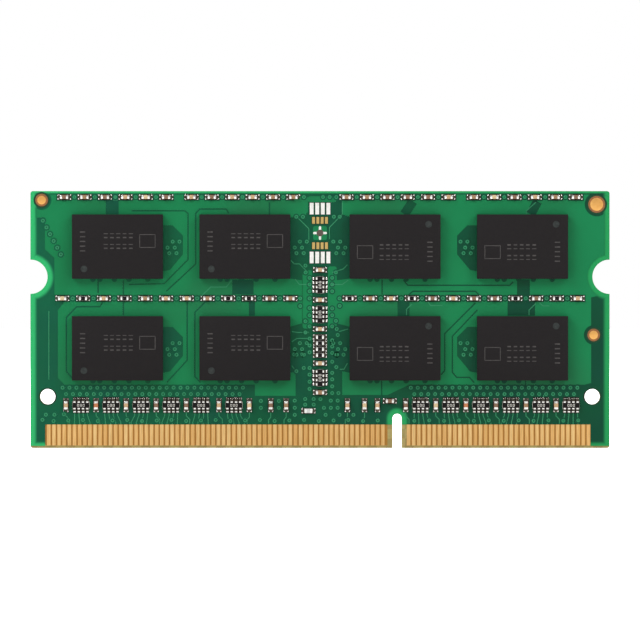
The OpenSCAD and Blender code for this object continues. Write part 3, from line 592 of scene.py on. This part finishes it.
# Each finger has a tone of its own, and its edges are drawn darker, one edge more than the other: painted
# shade on the edges that etching rounded
contact_pitch, first_x = 0.6 * MM, key_low - 0.225 * MM
along = add_node(tree, "SeparateXYZ", {0: here}).outputs["X"]
from_first = add_node(tree, "Math", {0: along, 1: first_x}, operation="SUBTRACT")
in_pitches = add_node(tree, "Math", {0: from_first, 1: contact_pitch}, operation="DIVIDE")
number = add_node(tree, "Math", {0: in_pitches}, operation="ROUND")
finger = add_node(tree, "TexWhiteNoise", {"W": number}, noise_dimensions="1D")
aside = add_node(tree, "Math", {0: in_pitches, 1: number}, operation="SUBTRACT")
off_middle = add_node(tree, "Math", {0: aside, 1: -0.05}, operation="SUBTRACT")
edge_near = add_node(tree, "Math", {0: off_middle}, operation="ABSOLUTE")
tone = add_node(tree, "Mix", {0: finger, 6: colour("#DCAD6E"), 7: colour("#E8C488")}, data_type="RGBA")
# Painted shade towards each finger's edges
shade = add_node(tree, "MapRange", {0: edge_near, 1: 0.26, 2: 0.42, 3: 0.0, 4: 0.8})
tone = add_node(tree, "Mix", {0: shade, 6: tone.outputs[2], 7: colour("#B57E36")}, data_type="RGBA")
mark = add_node(tree, "MapRange", {0: brushed, 1: 0.35, 2: 0.7, 3: 0.0, 4: 0.45})
streaked = add_node(tree, "Mix", {0: mark, 6: tone.outputs[2], 7: colour("#B07C3A")}, data_type="RGBA")
tree.links.new(streaked.outputs[2], shader.inputs["Base Color"])
wear = add_node(tree, "MapRange", {0: brushed, 3: 0.28, 4: 0.45})
tree.links.new(wear.outputs[0], shader.inputs["Roughness"])
for node in ("front_contacts_long", "front_contacts_short", "back_contacts_long", "back_contacts_short"):
    give(node, hard_gold)

# ---- The three gold targets ----
# Round pads, flash gold over nickel, that the assembly machine's camera finds. Their rims
# are rounded by etching.

# Thin gold over nickel is an even, warm metal without drawing marks
flash_gold, tree, shader = new_material("flash_gold_over_nickel", 0.35, metallic=1.0)
mottle(tree, shader, 0.5 * MM, "#D0934A", "#E9B56C", detail=4.0)
# The sloping rim has tarnished: brown, and too dull to mirror anything
rim, tree, shader = new_material("tarnished_target_rim", 0.5)
mottle(tree, shader, 0.3 * MM, "#6E4218", "#8A5420")
target_pieces = []
rim_w = 0.13 * MM
for low, high in islands("gold_targets"):
    target = disc(40, high.x - low.x + 2 * rim_w, high.y - low.y, (low + high) / 2)
    target.data.materials.append(rim)
    target.data.materials.append(flash_gold)
    edit(target)
    pick(target, "FACE", lambda middle, ends: middle.y < low.y + 0.001 * MM)
    bpy.ops.mesh.inset(thickness=1.75 * rim_w, depth=0)
    recast(target, 1)
    bpy.ops.mesh.inset(thickness=0.06 * MM, depth=0.014 * MM)
    bpy.ops.object.mode_set(mode="OBJECT")
    bpy.ops.object.shade_smooth_by_angle(angle=radians(40))
    target_pieces.append(target)
fit_out(join(target_pieces, "alignment_targets"), None, "target_gold", "gold_targets")

# ---- The pads of the sensor that isn't fitted ----
# Two rows of tinned pads, two of bare gold ones and a star that would cool the chip.

# Tin is a near white metal, smeared by wiping. The rows between are thin gold, a dull yellow.
pads, tree, shader = new_material("tinned_and_gold_pads", 0.32, metallic=1.0)
here = add_node(tree, "TexCoord").outputs["Object"]
split = add_node(tree, "SeparateXYZ", {0: here})
pad_low, pad_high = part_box("spare_sensor_pads")
sensor_z = (pad_low.z + pad_high.z) / 2
gold_from, gold_to = 1.0 * MM, 2.0 * MM
up = add_node(tree, "Math", {0: split.outputs["Z"], 1: sensor_z}, operation="SUBTRACT")
off = add_node(tree, "Math", {0: up}, operation="ABSOLUTE")
under = add_node(tree, "Math", {0: off, 1: gold_to}, operation="LESS_THAN")
over = add_node(tree, "Math", {0: off, 1: gold_from}, operation="GREATER_THAN")
gold_row = add_node(tree, "Math", {0: under, 1: over}, operation="MULTIPLY")
smear = add_node(tree, "TexNoise", {"Vector": here, "Scale": 1 / (0.4 * MM), "Detail": 3.0})
tin = add_node(tree, "Mix", {0: smear, 6: colour("#D6D6D0"), 7: colour("#FAFAF6")}, data_type="RGBA")
metal = add_node(tree, "Mix", {0: gold_row, 6: tin.outputs[2], 7: colour("#C2A566")}, data_type="RGBA")
tree.links.new(metal.outputs[2], shader.inputs["Base Color"])
give("spare_sensor_pads", pads)

# The star is four fingers of solder round a via, which would carry the heat to a square
# of the board's copper. Solder that oxidised over the hot via is brown-black and matt.
char, tree, shader = new_material("oxidised_thermal_via", 0.6)
mottle(tree, shader, 0.2 * MM, "#241E19", "#5A4A3E")
star_parts = []
for length, height in ((1.6 * MM, 0.27 * MM), (0.27 * MM, 1.6 * MM)):
    arm = block((length, 0.02 * MM, height), (0, -pour_top, sensor_z), pads)
    round_edges(arm, 0.11 * MM, 2, runs_through)
    star_parts.append(arm)
blob = disc(20, 0.8 * MM, 0.03 * MM, (0, -pour_top - 0.006 * MM, sensor_z))
blob.data.materials.append(char)
edit(blob)
pick(blob, "FACE", lambda middle, ends: middle.y < -pour_top - 0.015 * MM)
bpy.ops.mesh.inset(thickness=0.08 * MM, depth=0.012 * MM)
bpy.ops.object.mode_set(mode="OBJECT")
star_parts.append(blob)
fit_out(join(star_parts, "thermal_star"), None, "tinned_pads")

# ---- Solder and what lies under the memory chips ----
# Reflowed balls of tin and silver carry each package. Its substrate, die, gluing film,
# bond wires and slot resin are stacked above them.

# Tin and silver solder is a white metal, bright in some places and frosted in others
solder, tree, shader = new_material("reflowed_tin_silver_solder", 0.24, metallic=1.0)
frost = mottle(tree, shader, 0.15 * MM, "#D2D2CE", "#FAFAF6")
gloss = add_node(tree, "MapRange", {0: frost, 3: 0.16, 4: 0.36})
tree.links.new(gloss.outputs[0], shader.inputs["Roughness"])

# Where the solder slopes it is drawn dark grey-brown: a painted dark reflection
dark_reflection_solder, tree, shader = new_material("solder_with_painted_dark_reflection", 0.35, metallic=0.6)
mottle(tree, shader, 0.2 * MM, "#2A241D", "#6A6156")

# Glass cloth in BT resin shows its plies at the edge, dark green and half matt
bt_resin, tree, shader = new_material("bt_resin_substrate", 0.5)
here = add_node(tree, "TexCoord").outputs["Object"]
ply = add_node(tree, "TexWave", {"Vector": here, "Scale": 1 / (0.35 * MM), "Distortion": 0.6},
    bands_direction="Y")
tone = add_node(tree, "Mix", {0: ply.outputs["Fac"], 6: colour("#16351F"), 7: colour("#24492C")},
    data_type="RGBA")
tree.links.new(tone.outputs[2], shader.inputs["Base Color"])

# The ground back of a die is dark grey and fairly bright
silicon, tree, shader = new_material("ground_silicon", 0.3, metallic=1.0)
mottle(tree, shader, 0.1 * MM, "#6F7278", "#8C8F96", detail=2.0)

# Cured epoxy film is brown and matt
die_film, tree, shader = new_material("epoxy_die_film", 0.55)
mottle(tree, shader, 0.2 * MM, "#33291C", "#463A29", detail=2.0)

# Resin that was dispensed, not moulded, is black and glossy
slot_resin, tree, shader = new_material("black_encapsulating_resin", 0.25)
mottle(tree, shader, 1.5 * MM, "#121112", "#1D1B1C", detail=2.0)

for face in ("front", "back"):
    give(face + "_solder_balls", solder)
    give(face + "_chip_substrates", bt_resin)
    give(face + "_memory_dies", silicon)
    give(face + "_die_attach", die_film)
    give(face + "_bond_wires", hard_gold)
    give(face + "_slot_resin", slot_resin)

# ---- The memory chips ----
# Black epoxy moulded over each die and sawn to size, so the edges are crisp and the top
# is finely pitted. A dimple marks the first ball, and the laser's marks are plain bars.

# Epoxy filled with silica is black and matt, and its grain catches the light
mould, tree, shader = new_material("black_moulding_compound", 0.6, specular=0.12)
here = add_node(tree, "TexCoord").outputs["Object"]
# The filler's grains are 0.03 mm; they are drawn at 0.12 mm so that they show
pitting = add_node(tree, "TexNoise", {"Vector": here, "Scale": 1 / (0.12 * MM), "Detail": 5.0})
flow = add_node(tree, "TexNoise", {"Vector": here, "Scale": 1 / (5 * MM), "Detail": 2.0})
grainy = add_node(tree, "Mix", {0: pitting, 6: colour("#131112"), 7: colour("#1D1A1B")}, data_type="RGBA")
cloudy = add_node(tree, "Mix", {0: flow, 6: grainy.outputs[2], 7: colour("#191617")}, data_type="RGBA")
tree.links.new(cloudy.outputs[2], shader.inputs["Base Color"])
relief = add_node(tree, "Bump", {"Strength": 0.35, "Distance": 0.012 * MM, "Height": pitting})
tree.links.new(relief.outputs["Normal"], shader.inputs["Normal"])

# The laser burns the skin off the mould, which leaves matt grey filler
laser_grey, tree, shader = new_material("laser_marked_mould", 0.75, specular=0.12)
mottle(tree, shader, 0.5 * MM, "#302E2E", "#4E4B4A")

# The ejector pin leaves the dimple smoother and a little greyer than the sawn and moulded rest
pin_mark, tree, shader = new_material("mould_dimple_from_ejector_pin", 0.6, specular=0.12)
mottle(tree, shader, 0.3 * MM, "#1C1F1F", "#3A3E3D")


def sink_dot(piece, sides, diameter, thick, middle):
    """Sinks a flat round dimple into a moulded body, with a cutter of this size and place."""
    cutter = disc(sides, diameter, thick, middle)
    only(piece)
    dot = piece.modifiers.new("dot", "BOOLEAN")
    dot.operation = "DIFFERENCE"
    dot.solver = "EXACT"
    dot.object = cutter
    bpy.ops.object.modifier_apply(modifier="dot")
    bpy.data.objects.remove(cutter)


chip_low, chip_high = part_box("front_memory_chip_1")
chip_size = chip_high - chip_low
mark_rise, mark_sink = 0.004 * MM, 0.01 * MM
dot_d, dot_deep, dot_x, dot_z = 0.8 * MM, 0.05 * MM, -3.9 * MM, -2.6 * MM
# Where the marks lie from the chip's middle, in mm: x, z, length and height
rows = [(-1.35, 1.05), (-1.35, -0.2)]
bars = [(x + 0.73 * i, z, 0.42, 0.16) for x, z in rows for i in range(5)]
bars += [(x + 0.73 * i, z + 0.45, 0.5 - 0.06 * (i % 2), 0.1) for x, z in rows for i in range(5)]
bars += [(-4.05, 1.7 - 0.55 * i, 0.62, 0.14) for i in range(5)]
bars += [(3.5, z, 1.9, 0.09) for z in (1.4, -0.1)] + [(x, 0.65, 0.09, 1.5) for x in (2.6, 4.4)]

body = block(chip_size, (0, 0, 0))
round_edges(body, 0.05 * MM, 2)
sink_dot(body, 28, dot_d, 2 * dot_deep, (dot_x, -chip_size.y / 2, dot_z))
body.data.materials.clear()
body.data.materials.append(mould)
body.data.materials.append(pin_mark)
edit(body)
pick(body, "FACE", lambda middle, ends: abs(middle.x - dot_x) < 0.01 * MM
    and abs(middle.y + chip_size.y / 2 - dot_deep) < 0.01 * MM)
recast(body, 1)
bpy.ops.object.mode_set(mode="OBJECT")
bar_blocks = []
for x, z, length, height in bars:
    bar_blocks.append(block((length * MM, mark_rise + mark_sink, height * MM),
        (x * MM, -(chip_size.y + mark_rise - mark_sink) / 2, z * MM), laser_grey))
only(body, *bar_blocks)
bpy.ops.object.join()
bpy.ops.object.shade_smooth_by_angle(angle=radians(30))
chip_model = bpy.context.object
for face in ("front", "back"):
    for number in range(1, 9):
        node = f"{face}_memory_chip_{number}"
        low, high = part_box(node)
        middle = (low + high) / 2
        chip = copy_of(chip_model)
        chip.location = middle
        # The chips right of the middle are turned half round in their place
        turned = pi if middle.x > 0 else 0
        chip.rotation_euler = (0, turned, 0 if face == "front" else pi)
        only(chip)
        bpy.ops.object.transform_apply()
        chip.name = f"{face}_mould_{number}"
        fit_out(chip, None, "mould", node)
bpy.data.objects.remove(chip_model)

# ---- Ceramic capacitors ----
# A fired block of ceramic and metal layers, tumbled so that its corners are soft, dipped
# at each end in silver and then tinned. Batches differ in colour from beige to brown.
face_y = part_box("front_capacitor_bodies")[1].y
cap_low, cap_high = islands("front_capacitor_bodies")[0]
cap_t = cap_high.y - cap_low.y
part_l, part_w, array_least = 1.0 * MM, 0.5 * MM, 1.5 * MM
end_l = 0.25 * MM
end_proud = 0.012 * MM


def part_places(kind, face):
    """Where the small parts of a kind stand on a face, the two-ended ones and the arrays: x, z,
    turn and face. A two-ended part lies along the line to its own end, an array along its length."""
    ends = [(low + high) / 2 for low, high in islands(f"{face}_{kind}_ends")]
    singles, arrays = [], []
    for low, high in islands(f"{face}_{kind}_bodies"):
        middle, size = (low + high) / 2, high - low
        if max(size.x, size.z) > array_least:
            arrays.append((middle.x, middle.z, 0 if size.x > size.z else 90, face))
        else:
            near = min(ends, key=lambda end: (end - middle).length)
            flat = abs(near.x - middle.x) > abs(near.z - middle.z)
            singles.append((middle.x, middle.z, 0 if flat else 90, face))
    return singles, arrays


# Fired dielectric is half matt, tan to brown, and each part has its batch's colour
ceramic, tree, shader = new_material("fired_dielectric_ceramic", 0.45)
batch = add_node(tree, "NewGeometry").outputs["Random Per Island"]
tones = add_node(tree, "ValToRGB", {0: batch})
tones.color_ramp.interpolation = "CONSTANT"
tones.color_ramp.elements[0].color = colour("#A98B66")
tones.color_ramp.elements[1].color = colour("#70533C")
tones.color_ramp.elements[1].position = 0.35
for position, code in ((0.6, "#866848"), (0.78, "#A5653A"), (0.88, "#B8A27C")):
    tones.color_ramp.elements.new(position).color = colour(code)
here = add_node(tree, "TexCoord").outputs["Object"]
speck = add_node(tree, "TexNoise", {"Vector": here, "Scale": 1 / (0.08 * MM), "Detail": 2.0})
fired = add_node(tree, "Mix", {0: 0.25, 6: tones, 7: speck.outputs["Color"]},
    data_type="RGBA", blend_type="SOFT_LIGHT")
tree.links.new(fired.outputs[2], shader.inputs["Base Color"])

for face in ("front", "back"):
    places = part_places("capacitor", face)[0]
    core = block((part_l - end_l, cap_t - 2 * end_proud, part_w - 2 * end_proud),
        (0, face_y - cap_t / 2, 0))
    round_edges(core, 0.03 * MM, 2)
    only(core)
    bpy.ops.object.shade_smooth_by_angle(angle=radians(50))
    fit_out(put_copies(core, places, face + "_capacitor_ceramics"), ceramic, "ceramic_tan",
        face + "_capacitor_bodies")
    caps = []
    for s in (-1, 1):
        cap = block((end_l + 0.03 * MM, cap_t, part_w), (s * (part_l - end_l) / 2, face_y - cap_t / 2, 0),
            solder, dark_reflection_solder)
        # Painted dark reflection: the rounded outer end and long top edges of each terminal take the dark
        # solder
        round_edges(cap, 0.045 * MM, 2, lambda middle, ends: s * middle.x > part_l / 2 - 0.02 * MM,
            material=1)
        round_edges(cap, 0.035 * MM, 1, lambda middle, ends: middle.y < face_y - cap_t + 0.001 * MM
            and abs(middle.z) > part_w / 2 - 0.06 * MM, material=1)
        caps.append(cap)
    both = join(caps, "ends")
    bpy.ops.object.shade_smooth_by_angle(angle=radians(50))
    fit_out(put_copies(both, places, face + "_capacitor_terminals"), None, "solder",
        face + "_capacitor_ends")

# ---- Resistors and four-way arrays ----
# White alumina chips, printed with a resistive film and a black overglaze. An array has
# four terminals a side, and three plain bars printed in white on the glaze.

# Fired alumina is off-white and half matt
alumina, tree, shader = new_material("white_alumina", 0.5)
mottle(tree, shader, 0.1 * MM, "#CFCBC2", "#EFECE4")

# Glass with black pigment is black, and fired too thin to be glossy
glaze, tree, shader = new_material("black_overglaze", 0.5, specular=0.1)
mottle(tree, shader, 0.2 * MM, "#0D0B0B", "#181414")

res_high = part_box("front_resistor_films")[0].y
res_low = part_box("front_resistor_bodies")[1].y
res_t = res_low - res_high
film_t = 0.03 * MM
array_l, array_w, array_pitch = 2 * MM, 1 * MM, 0.5 * MM
for face in ("front", "back"):
    singles, arrays = part_places("resistor", face)
    whites, blacks, tins = [], [], []
    # The places, the slab's length and width, and the glaze's
    for places, slab_l, slab_w, cover_l, cover_w in (
            (arrays, array_l, array_w - 0.1 * MM, array_l - 0.02 * MM, array_w - 0.06 * MM),
            (singles, part_l - 0.1 * MM, part_w, part_l - 2 * end_l, part_w - 0.03 * MM)):
        if places:
            slab = block((slab_l, res_t - film_t, slab_w), (0, res_low - (res_t - film_t) / 2, 0))
            round_edges(slab, 0.02 * MM, 1)
            whites.append(put_copies(slab, places, "slabs"))
            # On an array the black glaze is wider than the slab and covers its top: the real glaze, with
            # painted shade between the legs
            cover = block((cover_l, film_t, cover_w), (0, res_high + film_t / 2, 0))
            round_edges(cover, 0.018 * MM, 2, lambda middle, ends: middle.y < res_high + 0.001 * MM)
            blacks.append(put_copies(cover, places, "covers"))
    legs = []
    for s in (-1, 1):
        for k in (-1.5, -0.5, 0.5, 1.5):
            leg_t = res_t + 0.02 * MM
            leg = block((0.36 * MM, leg_t, 0.25 * MM),
                (k * array_pitch, res_low - leg_t / 2, s * (array_w / 2 - 0.115 * MM)),
                solder, dark_reflection_solder)
            # Painted dark reflection: the rounded edges of each leg's outer face take the dark solder
            round_edges(leg, 0.05 * MM, 2, lambda middle, ends: middle.y < res_low - leg_t + 0.001 * MM,
                material=1)
            legs.append(leg)
    tins.append(put_copies(join(legs, "legs"), arrays, "array_legs"))
    prints = []
    for x in (-0.32, 0, 0.32):
        for dx, dz, w, h in ((-0.08, 0, 0.035, 0.3), (0.08, 0, 0.035, 0.3), (0, 0.13, 0.18, 0.035),
                (0, -0.13, 0.18, 0.035)):
            prints.append(block((w * MM, 0.012 * MM, h * MM),
                ((x + dx) * MM, res_high - 0.002 * MM, dz * MM)))
    marks = put_copies(join(prints, "prints"), arrays, face + "_array_marks")
    fit_out(marks, alumina, "ceramic_white")

    if singles:
        caps = []
        for s in (-1, 1):
            cap = block((end_l, res_t, part_w), (s * (part_l - end_l) / 2, res_low - res_t / 2, 0),
                solder, dark_reflection_solder)
            round_edges(cap, 0.12 * MM, 2, lambda middle, ends: s * middle.x > part_l / 2 - 0.01 * MM
                and runs_through(middle, ends))
            # Painted dark reflection: the rounded top edges of each end take the dark solder
            round_edges(cap, 0.045 * MM, 2, lambda middle, ends: middle.y < res_high + 0.001 * MM
                and s * middle.x > part_l / 2 - end_l + 0.01 * MM, material=1)
            caps.append(cap)
        tins.append(put_copies(join(caps, "small_ends"), singles, "resistor_ends"))
    for group, material, slot, name, node in (
            (whites, alumina, "ceramic_white", "_resistor_slabs", "_resistor_bodies"),
            (blacks, glaze, "film_black", "_resistor_glazes", "_resistor_films"),
            (tins, None, "solder", "_resistor_terminals", "_resistor_ends")):
        piece = join(group, face + name)
        bpy.ops.object.shade_smooth_by_angle(angle=radians(50))
        fit_out(piece, material, slot, face + node)

# ---- Solder joints of the small parts ----
# Paste printed on the lands, melted and drawn up each end into a hollow fillet, with the
# land's tinned corners left beside it.
lam_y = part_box("front_prepreg")[0].y
land_t = abs(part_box("front_solder_mask")[0].y - lam_y) * 0.9
land_l, land_w, land_x, fillet_x = 0.5 * MM, 0.62 * MM, 0.57 * MM, 0.58 * MM
fillet_l, fillet_t, array_fillet_t = 0.3 * MM, 0.28 * MM, 0.2 * MM
array_land_l, array_land_w, array_land_z, array_fillet_z = 0.32 * MM, 0.54 * MM, 0.585 * MM, 0.57 * MM


def pair_of_joints(turn):
    """The two joints of a two-ended part: at each end a land with its corner beads, and a fillet."""
    pieces = []
    for s in (-1, 1):
        # Painted dark reflection: the land and the fillet are drawn in the dark solder, and only the corner
        # beads are bright
        land = block((land_l, land_t, land_w), (s * land_x, lam_y - land_t / 2, 0), dark_reflection_solder, solder)
        round_edges(land, 0.02 * MM, 1, lambda middle, ends: middle.y < lam_y - land_t * 0.9)
        fillet = block((fillet_l, fillet_t, part_w), (s * fillet_x, lam_y - 0.03 * MM - fillet_t / 2, 0),
            dark_reflection_solder, solder)
        round_edges(fillet, 0.16 * MM, 2, lambda middle, ends: s * middle.x > 0.72 * MM
            and runs_through(middle, ends))
        round_edges(fillet, 0.22 * MM, 4, lambda middle, ends: middle.y < lam_y - 0.3 * MM
            and min(abs(e.x) for e in ends) > 0.5 * MM, profile=0.3)
        # Painted shade: the upper joints of the parts that stand upright, in the bottom row, get smaller
        # bright beads
        bead_w = 0.09 * MM if turn == 90 and s < 0 else 0.16 * MM
        for up in (-1, 1):
            bead = block((bead_w, 0.05 * MM, bead_w), (s * 0.715 * MM, lam_y - land_t, up * 0.215 * MM),
                solder, dark_reflection_solder)
            round_edges(bead, 0.03 * MM, 1, lambda middle, ends: middle.y < lam_y - land_t)
            pieces.append(bead)
        pieces += [land, fillet]
    return join(pieces, "joint")


def array_joints(turn):
    """The eight joints of an array: a land and a fillet at each terminal."""
    pieces = []
    for s in (-1, 1):
        # Painted shade: the upper joints of the arrays in the bottom row get dark lands with bright rims,
        # the others bright lands with dark rims
        upper = turn == 0 and s > 0
        kinds = (dark_reflection_solder, solder) if upper else (solder, dark_reflection_solder)
        for x in [k * array_pitch for k in (-1.5, -0.5, 0.5, 1.5)]:
            land = block((array_land_l, land_t, array_land_w),
                (x, lam_y - land_t / 2, s * array_land_z), *kinds)
            round_edges(land, 0.02 * MM, 1, lambda middle, ends: middle.y < lam_y - land_t * 0.9, material=1)
            # Each fillet is drawn in the dark solder: a painted dark reflection
            fillet = block((fillet_l, array_fillet_t, 0.26 * MM),
                (x, lam_y - 0.03 * MM - array_fillet_t / 2, s * array_fillet_z), dark_reflection_solder, solder)
            round_edges(fillet, 0.16 * MM, 3, lambda middle, ends: s * middle.z > 0.68 * MM
                and middle.y < lam_y - 0.21 * MM, profile=0.3)
            pieces += [land, fillet]
    return join(pieces, "array_joint")


for face in ("front", "back"):
    singles, arrays = part_places("resistor", face)
    singles = part_places("capacitor", face)[0] + singles
    if face == "front":
        low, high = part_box("ferrite_bead")
        singles.append(((low.x + high.x) / 2, (low.z + high.z) / 2, 0, face))
    joints = []
    for turn in (0, 90):
        for model, places in ((pair_of_joints, singles), (array_joints, arrays)):
            these = [place for place in places if place[2] == turn]
            if these:
                joints.append(put_copies(model(turn), these, "joints"))
    piece = join(joints, face + "_solder_fillets")
    bpy.ops.object.shade_smooth_by_angle(angle=radians(50))
    fit_out(piece, None, "solder", face + "_solder_joints")

# ---- The ferrite bead ----
# A pale pressed and fired ferrite block with tinned ends, rounder than a capacitor.

# Pale ferrite is light grey, fired smooth, with a faint sheen
pale, tree, shader = new_material("pale_fired_ferrite", 0.4)
mottle(tree, shader, 0.12 * MM, "#A9ABA8", "#C6C8C4")
low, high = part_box("ferrite_bead")
bead_middle = (low + high) / 2
bead = block(high - low, bead_middle, pale, solder)
edit(bead)
for s in (-1, 1):
    bpy.ops.mesh.select_all(action="SELECT")
    bpy.ops.mesh.bisect(plane_co=bead_middle + Vector((s * 0.22 * MM, 0, 0)), plane_no=(1, 0, 0))
pick(bead, "FACE", lambda middle, ends: abs(middle.x - bead_middle.x) > 0.23 * MM)
recast(bead, 1)
bpy.ops.object.mode_set(mode="OBJECT")
round_edges(bead, 0.09 * MM, 3, lambda middle, ends: abs(ends[0].x - ends[1].x) < 0.01 * MM
    and abs(middle.x - bead_middle.x) > 0.49 * MM)
bpy.ops.object.shade_smooth_by_angle(angle=radians(50))
bead.name = "bead_with_ends"
fit_out(bead, None, "ferrite", "ferrite_bead")

# ---- The data chip on the back ----
# A small moulded package with drafted sides and a parting line at its leads, which are
# stamped, tinned and bent down to their lands.
low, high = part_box("spd_body")
spd_middle = (low + high) / 2
body = block(high - low, spd_middle)
edit(body)
bpy.ops.mesh.select_all(action="SELECT")
bpy.ops.mesh.bisect(plane_co=spd_middle, plane_no=(0, 1, 0))
pick(body, "FACE", lambda middle, ends: abs(middle.y - spd_middle.y) > 0.4 * MM)
bpy.ops.transform.resize(value=(0.92, 1, 0.945), center_override=spd_middle)
bpy.ops.object.mode_set(mode="OBJECT")
round_edges(body, 0.04 * MM, 2, lambda middle, ends: abs(middle.y - spd_middle.y) > 0.4 * MM)
sink_dot(body, 24, 0.5 * MM, 0.08 * MM, (high.x - 0.75 * MM, high.y, low.z + 0.8 * MM))
bpy.ops.object.shade_smooth_by_angle(angle=radians(25))
body.name = "data_chip_mould"
fit_out(body, mould, "mould", "spd_body")

# Matt tin over copper alloy is a dull white metal
plated_lead, tree, shader = new_material("matt_tin_plated_lead", 0.4, metallic=1.0)
mottle(tree, shader, 0.2 * MM, "#B9B9B4", "#DCDCD6")
give("spd_leads", plated_lead)
give("spd_die", silicon)
